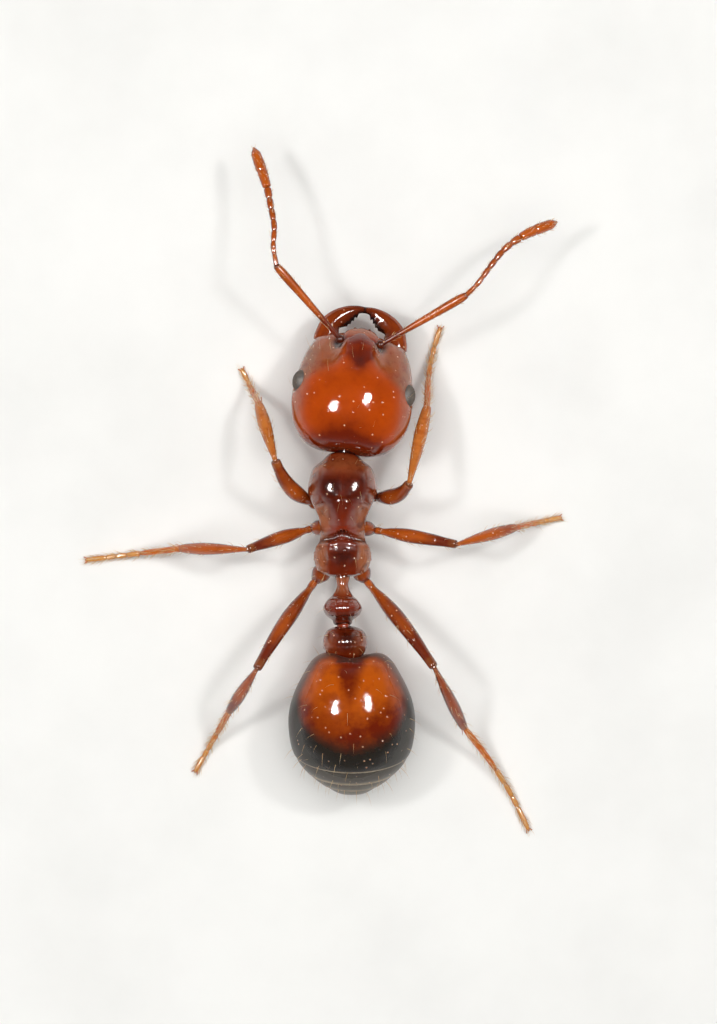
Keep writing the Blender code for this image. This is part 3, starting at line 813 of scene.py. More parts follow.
def chain(name, path, thick, edges, waist=0.35, sharpness=3.0, joint=0.5, depth=0.0):
    """Beads along a path of points. edges are the shares of its length where one bead meets the next.

    depth, one number or one for each point, says how dark the beads are.
    """
    path = np.asarray(path)
    steps = np.linalg.norm(np.diff(path, axis=0), axis=1)
    share = np.concatenate([[0], np.cumsum(steps)]) / steps.sum()
    number = np.clip(np.searchsorted(edges, share, side="right") - 1, 0, len(edges) - 2)
    edges = np.array(edges)
    bead = (share - edges[number]) / (edges[number + 1] - edges[number])
    data = bpy.data.meshes.new(name)
    data.from_pydata(path.tolist(), [(index, index + 1) for index in range(len(path) - 1)], [])
    set_mark(data, "thick", thick, 1)
    set_mark(data, "bead", bead, 1)
    set_mark(data, "shade", np.broadcast_to(depth, len(path)).copy(), 1)
    set_mark(data, "hairy", np.ones(len(path)), 1)
    set_mark(data, "lie", unit(np.gradient(path, axis=0)), 3)
    made = grown(name, data, chain_tree, Waist=waist, Sharpness=sharpness, Joint=joint)
    if volume(made) < 0:
        made.flip_normals()
    return made


def grown(name, data, make_tree, **values):
    """A mesh run through a geometry tree, with its inputs set by name, and turned into a plain mesh."""
    tree = bpy.data.node_groups.get(make_tree.__name__) or make_tree()
    tree.name = make_tree.__name__
    source = add_object(name, data)
    modifier = source.modifiers.new("growth", "NODES")
    modifier.node_group = tree
    for item in tree.interface.items_tree:
        if item.in_out == "INPUT" and item.name in values:
            modifier[item.identifier] = values[item.name]
    bpy.context.view_layer.update()
    graph = bpy.context.evaluated_depsgraph_get()
    made = bpy.data.meshes.new_from_object(
        source.evaluated_get(graph), preserve_all_data_layers=True, depsgraph=graph
    )
    made.name = name
    bpy.data.objects.remove(source)
    return made


def bristles(name, skins, slot, seed, **values):
    """Bristles over the skins, as one piece. A skin's hairy mark says where they grow."""
    values.update(Seed=seed, Material=finish("bristle_finish"))
    made = grown(name, merged(name, skins), bristle_tree, **values)
    for label in [found.name for found in made.attributes]:
        if label in ("root_map", "strand_along", "strand_round", "lie", *MARKS):
            made.attributes.remove(made.attributes[label])
    return finish_piece(add_object(name, made), slot)


# ---------------------------------------------------------------- head


# Relief of the head in mm, of which pairs are given for the right side. Masks: top and front.
HEAD_RELIEF = {
    "notch behind": (-0.050, (0.0, -0.80, 0.10), (0.20, 0.10, 0.30)),
    "feeler sockets": (-0.060, (0.27, 0.60, 0.26), (0.055, 0.070, 0.20)),
    "beds of the feelers": (-0.026, (0.34, 0.44, 0.35), (0.09, 0.16, 0.20), "top"),
    "frontal lobes": (0.045, ((0.12, 0.36, 0.42), (0.14, 0.50, 0.36), (0.165, 0.62, 0.27)), 0.045, "front"),
    "front line": (-0.012, ((0.0, 0.56, 0.36), (0.0, 0.26, 0.46)), 0.030),
    "rear line": (-0.004, ((0.0, -0.20, 0.48), (0.0, -0.62, 0.32)), 0.025),
    "root of the shield": (0.050, (0.0, 0.62, 0.24), (0.10, 0.12, 0.16)),
    "jaw sockets": (-0.030, (0.47, 0.72, -0.14), (0.10, 0.08, 0.10)),
    "cheek rims": (0.016, ((0.30, 0.66, 0.05), (0.52, 0.62, -0.02), (0.60, 0.55, -0.16)), 0.035),
    "throat line": (-0.016, ((0.0, -0.45, -0.42), (0.0, 0.50, -0.42)), 0.020),
    "mouth rims": (-0.012, ((0.0, 0.46, -0.42), (0.22, 0.56, -0.36), (0.40, 0.60, -0.24)), 0.020),
    "neck hole": (-0.030, (0.0, -0.74, -0.06), (0.10, 0.06, 0.10)),
}

# The low crest along the head, the grooves round the eyes and the darker places.
HEAD_CREST, CREST_WIDTH = 0.017, 0.27
EYE_RIM, EYE_RIM_WIDTH, EYE_RIM_RADII = -0.014, 0.10, (0.125, 0.105)
HEAD_BORDERS = {
    "feeler sockets": (0.9, (0.27, 0.60, 0.24), (0.06, 0.07, 0.10)),
    "cheek rims": (0.5, ((0.33, 0.70, 0.05), (0.56, 0.62, -0.08)), 0.03),
}
FRONT_PIT_BORDER = {"front pit": (0.45, (0.03, 0.36, 0.45), (0.05, 0.07, 0.2))}
HEAD_DARK = {
    "front pit": (0.9, (0.03, 0.33, 0.45), (0.08, 0.09, 0.20)),
    "middle of the back": (0.8, (0.02, -0.58, 0.35), (0.20, 0.17, 0.40)),
}


def head_grid():
    """The head's shell, with its sockets, lobes, rims and lines."""
    sections = scaled(HEAD_SECTIONS, -HEAD_LENGTH / 2, HEAD_LENGTH, HEAD_WIDTH, HEAD_HEIGHT)
    grid = loft(sections, *HEAD_GRID)
    points, pairs = grid.points, grid.mirrored
    x, y, z = np.moveaxis(pairs, -1, 0)
    top = rise(z, -0.05, 0.10)
    crest = bell(x, CREST_WIDTH) * top * band(y, -0.62, -0.30, 0.10, 0.42)
    from_eye = np.hypot((y - EYE_PLACE[1]) / EYE_RIM_RADII[0], (z - EYE_PLACE[2]) / EYE_RIM_RADII[1]) - 1
    eye_rim = bell(from_eye, EYE_RIM_WIDTH) * rise(x, 0.45, 0.55)
    relief = layers(pairs, HEAD_RELIEF, top=top, front=top * rise(y, 0.30, 0.52))
    grid.push(HEAD_CREST * crest + EYE_RIM * eye_rim + relief)

    borders = layers(pairs, HEAD_BORDERS) + layers(points, FRONT_PIT_BORDER)
    grid.mark("edge", borders + 0.6 * eye_rim + 0.5 * fall(y, -0.75, -0.66))
    shield = fall(np.abs(points[..., 0] - 0.015), 0.15, 0.21) * rise(y, 0.30, 0.44) * top
    rear, below = fall(y, -0.68, -0.46), fall(z, -0.15, 0.10)
    grid.mark("deep", layers(points, HEAD_DARK) + 0.85 * shield + 0.75 * rear + 0.5 * below)
    # Painted reflection: the pale cheeks and the pale band down the sides stand in for the pale floor
    # reflected in the shell.
    slant = y - (0.33 - 0.66 * (x - 0.20))
    cheek = rise(slant, -0.09, 0.07) * rise(x, 0.14, 0.24) * rise(z, -0.25, 0.0)
    side = rise(x, 0.47, 0.66) * rise(z, -0.30, -0.05) * rise(y, -0.70, -0.45)
    grid.mark("pale", 0.75 * cheek + 0.45 * side)
    return grid.mark("hairy", 0.45 + 0.4 * rise(y, 0.2, 0.5) - 0.4 * fall(z, -0.2, 0.0))


def egg(centre, size, rows=40, columns=36, tilt=None, squareness=2.0):
    """A rounded block: a ball whose sections are squarer the higher the squareness."""
    share = np.linspace(0, math.pi, rows)[:, None]
    around = np.arange(columns)[None, :] / columns * 2 * math.pi

    def bent(value):
        return np.sign(value) * np.abs(value) ** (2.0 / squareness)

    y = np.repeat(-np.cos(share), columns, 1)
    x = bent(np.sin(share)) * bent(np.cos(around))
    z = bent(np.sin(share)) * bent(np.sin(around))
    grid = Grid(np.stack([x * size[0], y * size[1], z * size[2]], axis=-1))
    if tilt is not None:
        grid.turn(Matrix.Rotation(tilt, 4, "X"))
    grid.points = grid.points + np.array(centre)
    return grid


# Relief of the shield between the jaws: its two keels and the blunt tooth between them.
CLYPEUS_RELIEF = {
    "keels": (0.016, ((0.10, 0.50, 0.27), (0.085, 0.80, 0.05)), 0.016),
    "middle tooth": (0.018, (0.0, 0.80, 0.02), (0.03, 0.04, 0.05)),
}


def clypeus_grid():
    """The shield between the jaws: a raised middle with two keels and a thin rounded front edge."""
    grid = egg((0.0, 0.645, 0.135), (0.215, 0.175, 0.085), 80, 96, math.radians(-38), 2.5)
    for name, feature in CLYPEUS_RELIEF.items():
        grid.push(layers(grid.mirrored, {name: feature}))
    y = grid.points[..., 1]
    edge = rise(y, 0.74, 0.79)
    grid.mark("edge", 0.30 * edge)
    grid.mark("deep", fall(y, 0.60, 0.74))
    grid.mark("pale", 0.80 * rise(y, 0.62, 0.76))
    return grid.mark("hairy", 0.6 * edge)


# Teeth of a jaw: the place of each along it and its length in mm. Then the blade that bears them.
TEETH = ((0.53, 0.014), (0.62, 0.026), (0.715, 0.034), (0.81, 0.040))
TOOTH_WIDTH, TOOTH_BLUNTNESS = 0.032, 1.6
BLADE_DEPTH, BLADE_SHARPNESS, BLADE_THINNING = 0.055, 2.5, 0.55
JAW_FLATNESS, JAW_GROOVES, JAW_GROOVE_DEPTH = 0.62, 11, 0.0050


def mandible_grid(sign):
    """A curved jaw with teeth along its inner blade and grooves along its outer side."""
    places, closing = rounded(220, 0.05)
    route = smooth_rows(MANDIBLE_PATH, places)
    across = smooth_rows([(width,) for width in MANDIBLE_WIDTHS], places)[:, 0]
    columns = 56
    grid = sweep(route, across * JAW_FLATNESS * closing, across * closing, (0, 0, 1), columns)
    around = np.arange(columns) / columns * 2 * math.pi
    inner, outer = np.maximum(0, -np.sin(around))[None, :], np.maximum(0, np.sin(around))[None, :]
    away = grid.points - route[:, None]
    inwards = unit(away[:, 3 * columns // 4])[:, None]
    blade = BLADE_DEPTH * band(places, 0.34, 0.52, 0.60, 0.90)
    for place, size in TEETH:
        blade = blade + size * np.exp(-np.abs((places - place) / TOOTH_WIDTH) ** TOOTH_BLUNTNESS)
    thin = inner**BLADE_SHARPNESS
    grid.points = grid.points + inwards * (thin * blade[:, None])[..., None]
    grid.points[..., 2] -= away[..., 2] * thin * BLADE_THINNING
    places = places[:, None]
    stripes = waves(around[None, :] * JAW_GROOVES + places * 4)
    grid.push(-JAW_GROOVE_DEPTH * stripes * outer * rise(places, 0.15, 0.30))
    ends = 0.6 * fall(places, 0.0, 0.10) + 0.9 * rise(places, 0.88, 0.99)
    grid.mark("edge", 1.6 * inner**5 * rise(places, 0.22, 0.50) + ends)
    grid.mark("deep", 0.55 * inner + 0.5 * rise(places, 0.45, 0.9))
    # Painted highlights: pale streaks along the grooves at the jaw's root stand in for glints.
    grid.mark("pale", 0.5 * outer * stripes * fall(places, 0.30, 0.55))
    grid.points[..., 0] *= sign
    return grid.mark("hairy", outer * rise(places, 0.10, 0.2))


# The mouth's lip and the two parts of its tongue: centre, size, rows, columns, tilt and squareness.
# Then its small feelers: root, tip and width of each on the right.
MOUTH_PARTS = (
    ((0.0, 0.66, -0.13), (0.13, 0.09, 0.06), 30, 32, math.radians(-30), 2.4),
    ((0.0, 0.52, -0.335), (0.15, 0.20, 0.055), 40, 40, math.radians(12), 2.4),
    ((0.0, 0.68, -0.27), (0.07, 0.10, 0.045), 30, 30, math.radians(20)),
)
PALPS = (
    ((0.13, 0.60, -0.33), (0.20, 0.75, -0.40), 0.030),
    ((0.05, 0.70, -0.31), (0.08, 0.82, -0.37), 0.024),
)
PALP_SECTIONS = ((0, 0.6), (0.5, 1.0), (1, 0.7))


def mouth_grids():
    """The lip, the tongue's bed and the two pairs of small feelers under the jaws."""
    grids = [egg(*part) for part in MOUTH_PARTS]
    joint = {"side": (0, 0, 1), "flat": 1, "rows": 24, "columns": 12, "cap": 0.2}
    for sign in (-1, 1):
        for root, tip, width in PALPS:
            root, tip = np.array(root) * (sign, 1, 1), np.array(tip) * (sign, 1, 1)
            half = (root + tip) / 2
            grids.append(limb(root, half, PALP_SECTIONS, width, **joint))
            grids.append(limb(half, tip, PALP_SECTIONS, width * 0.9, **joint))
    for grid in grids:
        grid.mark("edge", 0.35)
        grid.mark("hairy", 0.3)
    return grids


# ---------------------------------------------------------------- thorax and waist


# Relief of the thorax in mm, of which pairs are given for the right side. Masks: flank.
SPIRACLE, SPIRACLE_RADIUS = (0.315, -0.19, 0.74), 0.022
PRONOTUM_SEAM = ((0.24, 0.44, 1.15), (0.36, 0.40, 0.90), (0.38, 0.36, 0.60), (0.30, 0.36, 0.45))
REAR_FLANK_SEAM = ((0.28, 0.06, 0.95), (0.33, -0.02, 0.70), (0.30, -0.04, 0.46))
THORAX_RELIEF = {
    "round shield": (0.004, (0.0, 0.27, 1.22), (0.14, 0.13, 0.20)),
    "shoulders": (0.040, (0.20, 0.70, 1.16), (0.13, 0.14, 0.16)),
    "pronotum seams": (-0.016, PRONOTUM_SEAM, 0.022),
    "upper flank seams": (-0.014, ((0.30, 0.30, 0.74), (0.33, 0.06, 0.70)), 0.018, "flank"),
    "rear flank seams": (-0.020, REAR_FLANK_SEAM, 0.022, "flank"),
    "flank swellings": (0.022, (0.33, 0.24, 0.60), (0.14, 0.11, 0.10)),
    "gland swellings": (0.030, (0.27, -0.26, 0.52), (0.12, 0.13, 0.075)),
    "gland seams": (-0.012, ((0.30, -0.12, 0.64), (0.28, -0.38, 0.60)), 0.016),
    "spiracles": (-0.022, SPIRACLE, (SPIRACLE_RADIUS, SPIRACLE_RADIUS, SPIRACLE_RADIUS)),
    "rear keels": (0.013, ((0.17, -0.02, 1.04), (0.19, -0.26, 1.02), (0.15, -0.38, 0.86)), 0.034),
    "rear hollow": (-0.014, (0.0, -0.20, 1.06), (0.06, 0.15, 0.20)),
    "front hips": (-0.030, (0.18, 0.64, 0.46), (0.12, 0.10, 0.10)),
    "middle hips": (-0.020, (0.20, 0.16, 0.42), (0.10, 0.09, 0.08)),
}

# The spiracles' rims, the ring on the back, the ribbed groove behind it and the fine wrinkles.
SPIRACLE_RIM, RIM_RADIUS, RIM_WIDTH = 0.010, 0.045, 0.014
RING_PLACE, RING_RADIUS, RING_WIDTH, RING_DEPTH = 0.27, 0.225, 0.090, 0.008
GROOVE_WIDTH, GROOVE_DEPTH, GROOVE_RIBS = 0.034, 0.022, 38
WRINKLES, WRINKLE_HEIGHT, BACK_WRINKLE_HEIGHT = 190, 0.0022, 0.0009
THORAX_BORDERS = {
    "pronotum seams": (0.35, PRONOTUM_SEAM[:3], 0.03),
    "spiracles": (0.8, SPIRACLE, (0.03, 0.03, 0.03)),
}
THORAX_DARK = {
    "middle of the back": (0.5, (0.0, 0.42, 1.2), (0.20, 0.16, 0.3)),
    "shoulders": (0.7, (0.16, 0.66, 1.15), (0.14, 0.12, 0.2)),
    "rear hollow": (0.9, (0.0, -0.22, 1.0), (0.14, 0.14, 0.3)),
}


def thorax_waist(along):
    """How much narrower the back of the thorax is than its flanks, place by place."""
    return 0.23 * band(along, -0.14, -0.02, 0.46, 0.58) + 0.17 * fall(along, -0.16, -0.04)


def height(share):
    """A share of the thorax's height, in mm above the floor."""
    return THORAX_BOTTOM + share * (THORAX_TOP - THORAX_BOTTOM)


def thorax_grid():
    """Pronotum, mesothorax and propodeum as the one box they are, with their seams pressed in."""
    sections = [
        (THORAX_FRONT - along * THORAX_LENGTH, half * THORAX_WIDTH / 2, height(top), height(bottom))
        for along, half, top, bottom in THORAX_SECTIONS
    ]
    grid = loft(sections, *THORAX_GRID, thorax_waist)
    pairs = grid.mirrored
    x, y, z = np.moveaxis(grid.points, -1, 0)
    top, flank = rise(z, 0.86, 1.02), band(z, 0.44, 0.52, 1.00, 1.12)
    amount = layers(pairs, THORAX_RELIEF, flank=flank)
    from_ring = np.hypot(x / RING_RADIUS, (y - RING_PLACE) / RING_RADIUS) - 1
    ring = bell(from_ring, RING_WIDTH) * top * rise(y, 0.10, 0.30)
    saddle = band(y, 0.04, 0.16, 0.26, 0.54) * top
    amount -= RING_DEPTH * ring + 0.045 * saddle + 0.050 * fall(y, -0.30, -0.02) * top

    # The deep ribbed groove across the back, with a low ridge behind it.
    bowed = y - 0.055 + 0.9 * x**2 - 0.012 * np.cos(x * 23)
    groove = bell(bowed, GROOVE_WIDTH) * rise(z, 0.50, 0.80)
    ribs = waves(np.arctan2(z - 0.8, x) * GROOVE_RIBS)
    amount += 0.012 * bell(bowed + 0.075, 0.030) * top - GROOVE_DEPTH * (1 + ribs) * groove

    from_spiracle = np.linalg.norm(pairs - SPIRACLE, axis=-1)
    amount += SPIRACLE_RIM * bell(from_spiracle - RIM_RADIUS, RIM_WIDTH)
    on_flank = flank * fall(y, 0.26, 0.36) * rise(np.abs(x), 0.18, 0.26)
    on_back = top * band(y, 0.0, 0.06, 0.14, 0.26)
    amount += WRINKLE_HEIGHT * np.cos(z * WRINKLES) * on_flank
    amount += BACK_WRINKLE_HEIGHT * np.cos(y * WRINKLES + 2 * np.cos(x * 30)) * on_back
    grid.push(amount)

    grid.mark("edge", layers(pairs, THORAX_BORDERS) + 0.10 * ring + 0.6 * groove)
    grid.mark("deep", layers(pairs, THORAX_DARK) + 0.6 * fall(z, 0.45, 0.70))
    # Painted sheen: the pale sides stand in for the pale surroundings reflected in the shell; the paler front
    # of the pronotum is its own tone.
    wide = rise(np.abs(x), 0.14, 0.26)
    pale = wide * (rise(z, 0.62, 0.80) * fall(y, 0.36, 0.46) + 0.6 * rise(y, 0.74, 1.0))
    pale = pale + 0.6 * spot(pairs, (0.38, 0.68, 0.95), (0.06, 0.2, 0.20)) + 0.6 * rise(y, 0.70, 0.94) * top
    grid.mark("pale", pale)
    grid.mark("matt", 0.25 * fall(y, 0.40, 0.47) * top)
    return grid.mark("hairy", top * (0.7 * rise(y, 0.12, 0.3) + 0.35 * fall(y, -0.05, 0.05)))


def neck_grid():
    """The narrow collar that carries the head, seen in the gap behind it."""
    grid = egg((0.06, 1.02, 0.76), (0.15, 0.16, 0.15), 50, 48, squareness=2.2)
    grid.push(-0.008 * waves(grid.points[..., 1] * 90))
    grid.mark("edge", 0.8)
    return grid.mark("hairy", 0)


# The waist's knots in mm: fine grooves across them and coarser flutes along their crowns.
STRIA_PITCH, STRIA_DEPTH, FLUTE_PITCH = 0.030, 0.0010, 0.072
PETIOLE_RELIEF = {
    "crown": (0.018, (0.0, -0.84, 1.15), (0.30, 0.09, 0.16)),
    "spiracles": (-0.014, (0.12, -0.62, 0.76), (0.018, 0.018, 0.018)),
    "thorn below": (0.035, (0.0, -0.52, 0.63), (0.03, 0.05, 0.04)),
}
POSTPETIOLE_RELIEF = {
    "spiracles": (-0.012, (0.24, -1.18, 0.80), (0.02, 0.02, 0.02)),
    "crown": (0.012, (0.0, -1.22, 1.08), (0.16, 0.06, 0.08)),
}


def striae(places, pitch, depth):
    """Fine grooves along one axis."""
    return depth * waves(places / pitch * 2 * math.pi) ** 2


def knot(sections, width, rows):
    """A knot of the waist, before its relief."""
    sections = [(along, half * width / 2, top, bottom) for along, half, top, bottom in sections]
    return loft(sections, rows, KNOT_COLUMNS)


def petiole_grid():
    """The waist's front knot, which stands higher."""
    grid = knot(PETIOLE_SECTIONS, PETIOLE_WIDTH, PETIOLE_ROWS)
    pairs = grid.mirrored
    x, y, z = np.moveaxis(pairs, -1, 0)
    node = spot(pairs, *PETIOLE_RELIEF["crown"][1:])
    amount = layers(pairs, PETIOLE_RELIEF) - striae(y, STRIA_PITCH, STRIA_DEPTH) * fall(y, -0.92, -0.86)
    amount += 0.0034 * np.cos(x / FLUTE_PITCH * 2 * math.pi) * node * fall(x, 0.10, 0.16)
    grid.push(amount)
    grid.mark("edge", 0.7 * rise(y, -0.47, -0.42) + 0.9 * fall(y, -1.00, -0.95))
    grid.mark("pale", 0.7 * rise(y, -0.70, -0.60))
    grid.mark("deep", 0.30 * node + 0.6 * fall(y, -0.95, -0.80))
    return grid.mark("hairy", rise(z, 0.80, 0.95) * fall(y, -0.78, -0.70))


def waist_link_grid():
    """The short link between the two knots."""
    grid = egg((0.012, -1.02, 0.80), (0.078, 0.045, 0.10))
    return grid.push(0.003 * np.cos(grid.points[..., 0] * 110))


def postpetiole_grid():
    """The waist's rear knot, which is broader and lies a little to the right."""
    grid = knot(POSTPETIOLE_SECTIONS, POSTPETIOLE_WIDTH, POSTPETIOLE_ROWS)
    points, pairs = grid.points, grid.mirrored
    x, y, z = np.moveaxis(pairs, -1, 0)
    grooved = rise(z, 0.74, 0.86) * fall(y, -1.36, -1.30)
    amount = layers(pairs, POSTPETIOLE_RELIEF) - striae(y, STRIA_PITCH, STRIA_DEPTH) * grooved
    crown = spot(pairs, (0.0, -1.22, 1.08), (0.30, 0.07, 0.16)) * fall(x, 0.12, 0.18)
    amount += 0.0028 * np.cos(x / FLUTE_PITCH * 2 * math.pi) * crown
    grid.push(amount)
    grid.points = grid.points + (POSTPETIOLE_ACROSS, 0, 0)
    grid.mark("edge", 0.9 * rise(y, -1.06, -1.02) + 0.8 * fall(y, -1.46, -1.36))
    grid.mark("pale", 0.5 * spot(pairs, (0.20, -1.24, 0.90), (0.07, 0.12, 0.3)))
    grid.mark("deep", 0.85 * spot(points, (POSTPETIOLE_ACROSS, -1.16, 1.0), (0.15, 0.14, 0.4)))
    return grid.mark("hairy", rise(z, 0.86, 0.98))


# ---------------------------------------------------------------- gaster


# Relief of the whole gaster in mm, of which pairs are given for the right side.
GASTER_RELIEF = {
    "hollow at the waist": (-0.045, (0.0, -1.40, 0.25), (0.13, 0.16, 0.22), "front"),
    "shoulders": (0.045, (0.33, -1.50, 0.18), (0.15, 0.14, 0.24)),
}

# Plates: how far each lies below the one before, how many rows it's tucked in, the thickness of its
# rim, and the rows of the front plate and of the others, of which the last few are pale.
PLATE_STEP, PLATE_TUCK, PLATE_RIM = 0.012, 9.0, 0.022
FRONT_ROWS, FRONT_PALE_ROWS, REAR_ROWS, REAR_PALE_ROWS = 330, 5, 70, 14

# The groove along each flank of the gaster, and the ribbed collar where the waist joins.
FOLD_HEIGHT, FOLD_WIDTH, FOLD_DEPTH = 0.60, 0.018, 0.007
COLLAR = ((0.05, -1.468, 0.95), (0.10, 0.022, 0.5))
COLLAR_HEIGHT, COLLAR_RIB, COLLAR_PITCH = 0.024, 0.005, 0.055

# Where the front plate turns dark, how much further forwards at its sides, and how dark the rear is.
DARK_FROM, DARK_BOW, REAR_DARKNESS = -2.47, 0.80, 0.88


def tergite_y(number, level):
    """Where the rear edge of a gaster plate lies at a height. The edges lean forwards underneath."""
    y, z, lean = TERGITE_EDGES[number]
    return y + lean * (z - level)


def gaster_surface():
    """The whole gaster, along each meridian from its front to its rear."""
    sections = scaled(GASTER_SECTIONS, GASTER_PLACE[1], -GASTER_LENGTH, GASTER_WIDTH, GASTER_HEIGHT)
    grid = loft(sections, *GASTER_GRID)
    grid.push(layers(grid.mirrored, GASTER_RELIEF, front=rise(grid.points[..., 1], -1.85, -1.50)))
    grid.points = grid.points + (GASTER_PLACE[0], 0, GASTER_PLACE[2])
    return grid


def sampled(points, rows):
    """The grid's points at fractional rows, one row number for each column and each place."""
    low = np.clip(np.floor(rows).astype(int), 0, len(points) - 2)
    share = (rows - low)[..., None]
    column = np.arange(points.shape[1])[None, :]
    return points[low, column] * (1 - share) + points[low + 1, column] * share


def crossing(points, number):
    """The fractional row at which each meridian meets the rear edge of a gaster plate."""
    gap = points[..., 1] - tergite_y(number, points[..., 2])
    after = np.argmax(gap < 0, axis=0)
    column = np.arange(points.shape[1])
    before = gap[after - 1, column]
    return after - 1 + before / (before - gap[after, column])


def turned_in(shell, outwards):
    """More rows for a plate's rear end, which turn inwards by a quarter circle."""
    turn = np.linspace(0, math.pi / 2, 7)[1:, None, None]
    ahead = unit(shell[-1] - shell[-3])
    return shell[-1] + ahead * np.sin(turn) * PLATE_RIM / 3 - outwards * (1 - np.cos(turn)) * PLATE_RIM


def gaster_plates():
    """Four plates, each tucked under the rear rim of the one before."""
    surface = gaster_surface()
    points, normals = surface.points, surface.normals()
    edges = [crossing(points, number) for number in range(len(TERGITE_EDGES))]
    starts = [np.zeros_like(edges[0]), *[edge - PLATE_TUCK for edge in edges]]
    ends = [*edges, np.full_like(edges[0], len(points) - 1.0)]
    plates = []
    for number, (start, end) in enumerate(zip(starts, ends, strict=True)):
        tucked, rimmed = number > 0, number < len(edges)
        count, pale_rows = (REAR_ROWS, REAR_PALE_ROWS) if tucked else (FRONT_ROWS, FRONT_PALE_ROWS)
        share = np.linspace(0, 1, count)[:, None]
        rows = start + (end - start) * share
        shell, outwards = sampled(points, rows), sampled(normals, rows)
        inset = -PLATE_STEP * tucked * (1 - 0.9 * rise(share, 0.0, 0.8))
        lip = 0.004 * rimmed * rise(share, 0.90, 0.975)
        bulge = 0.006 * tucked * np.sin(math.pi * share)
        shell = shell + outwards * (inset + lip + bulge)[..., None]
        if rimmed:
            shell = np.concatenate([shell, turned_in(shell, outwards[-1])])
        plate = Grid(shell)
        x, y, z = np.moveaxis(shell, -1, 0)
        across = np.abs(x - GASTER_PLACE[0])
        fold = bell(z - FOLD_HEIGHT + 0.30 * rise(y, -2.4, -1.6), FOLD_WIDTH)
        fold = fold * rise(across, 0.25, 0.45) * fall(y, -1.60, -1.48)
        plate.push(-FOLD_DEPTH * fold)
        if not tucked:
            ribs = COLLAR_RIB * np.cos(across / COLLAR_PITCH * 2 * math.pi)
            plate.push(spot(shell, *COLLAR) * (COLLAR_HEIGHT + ribs))
        rim = rimmed * rise(np.arange(len(shell)), count - pale_rows, count - 1)[:, None]
        plate.mark("pale", rim * (1 - 0.15 * number) + 0.08 * number)
        plate.mark("edge", 0.20 * fold)
        plate.mark("matt", rise(1 - np.abs(plate.normals()[..., 2]), 0.12, 0.45))
        plates.append(plate)
    return plates


def front_plate_marks(plate):
    """Orange in front, near black behind, with a brown wedge where the waist joins and painted shade on the
    rims.
    """
    x, y, z = np.moveaxis(plate.points, -1, 0)
    across = x - GASTER_PLACE[0]
    limit = DARK_FROM + DARK_BOW * across**2 + 0.20 * rise(0.75 - z, 0, 0.6)
    # Painted shade: where the plate faces sideways, its rims are painted darker and deeper.
    rims = rise(1 - np.abs(plate.normals()[..., 2]), 0.20, 0.64) * rise(z, 0.35, 0.75)
    plate.mark("dark", rise(limit - y, -0.34, 0.26) + 0.62 * rims)
    wedge = rise(0.16 - np.abs(across + 0.02) + 0.23 * (y + 1.45), -0.08, 0.08) * rise(y, -2.15, -1.75)
    turning = rise(limit + 0.34 - y, -0.26, 0.24)
    plate.mark("deep", wedge + 0.5 * rise(0.70 - z, 0.0, 0.5) + 0.4 * rims + 0.9 * turning)
    return plate.mark("hairy", 0.35 + 0.65 * fall(y, -2.7, -2.2))


# ---------------------------------------------------------------- feelers


SHAFT_SECTIONS = ((0.0, 0.60), (0.05, 0.58), (0.20, 0.64), (0.60, 0.94), (0.86, 1.08), (1.0, 0.76))

# The shares of a feeler's lash where its whip and its club start and end, the edges of their beads,
# how long their tips are, and the look of the beads.
CLUB_FROM, LASH_POINTS = 0.735, 600
LASH_PARTS = {
    "whip": (0.0, CLUB_FROM, LASH_SEGMENTS, 0.02, (0.24, 2.6, 0.5, 0.15)),
    "club": (CLUB_FROM - 0.004, 1.0, CLUB_SEGMENTS, 0.16, (0.12, 9.0, 0.2, -0.1)),
}


def scape_grids(side):
    """A feeler's shaft and the ball in its socket."""
    x, y, z = SCAPE_ROOT
    root = np.array(head_frame() @ Vector((x * SIDES[side], y, z)))
    elbow = np.array(ANTENNAE[side][0])
    onward = unit(elbow - root)
    shape = {"flat": 0.96, "rows": 150, "columns": 40}
    grid = limb(root, elbow + onward * 0.03, SHAFT_SECTIONS, SCAPE_WIDTH, (0, 0, 1), **shape)
    along = grid.along
    grid.mark("edge", 0.7 * fall(along, 0.02, 0.12) + 0.7 * rise(along, 0.93, 0.99))
    # Darker towards the root, the shaft's own tone, and painted shade where it faces sideways.
    grid.mark("deep", fall(along, 0.10, 0.50) + painted_flank_shade(grid))
    grid.mark("hairy", rise(along, 0.08, 0.16))
    ball = egg(tuple(root - onward * 0.015 - np.array((0, 0, 0.012))), (0.052, 0.052, 0.052), 30, 30)
    ball.mark("edge", 0.9)
    return [grid, ball.mark("hairy", 0)]


def painted_flank_shade(grid):
    """Painted shade: 1 where the surface faces sideways, 0 on top, so that the rims of a limb are painted
    darker than its top.
    """
    return (1 - np.abs(grid.normals()[..., 2])) ** 1.2


def lash_chain(side, part):
    """The beads of a feeler beyond its elbow: the whip's seven, or the two of its club."""
    low, high, edges, tip, look = LASH_PARTS[part]
    lash = np.array(ANTENNAE[side])
    start = lash[0] + unit(lash[0] - lash[1]) * 0.05
    shares = np.linspace(0, 1, LASH_POINTS)
    kept = (shares >= low) & (shares <= high)
    route = smooth_rows([start, *lash], shares)[kept]
    inner = (shares[kept] - low) / (high - low)
    closing = np.sqrt(np.clip(np.minimum(inner / 0.03, (1 - inner) / tip), 0, 1))
    thick = LASH_WIDTH * profile(LASH_SECTIONS, shares[kept]) / 2 * closing
    thick[[0, -1]] = 0
    return chain(f"{side}_{part}", route, thick, edges, *look)


# ---------------------------------------------------------------- legs


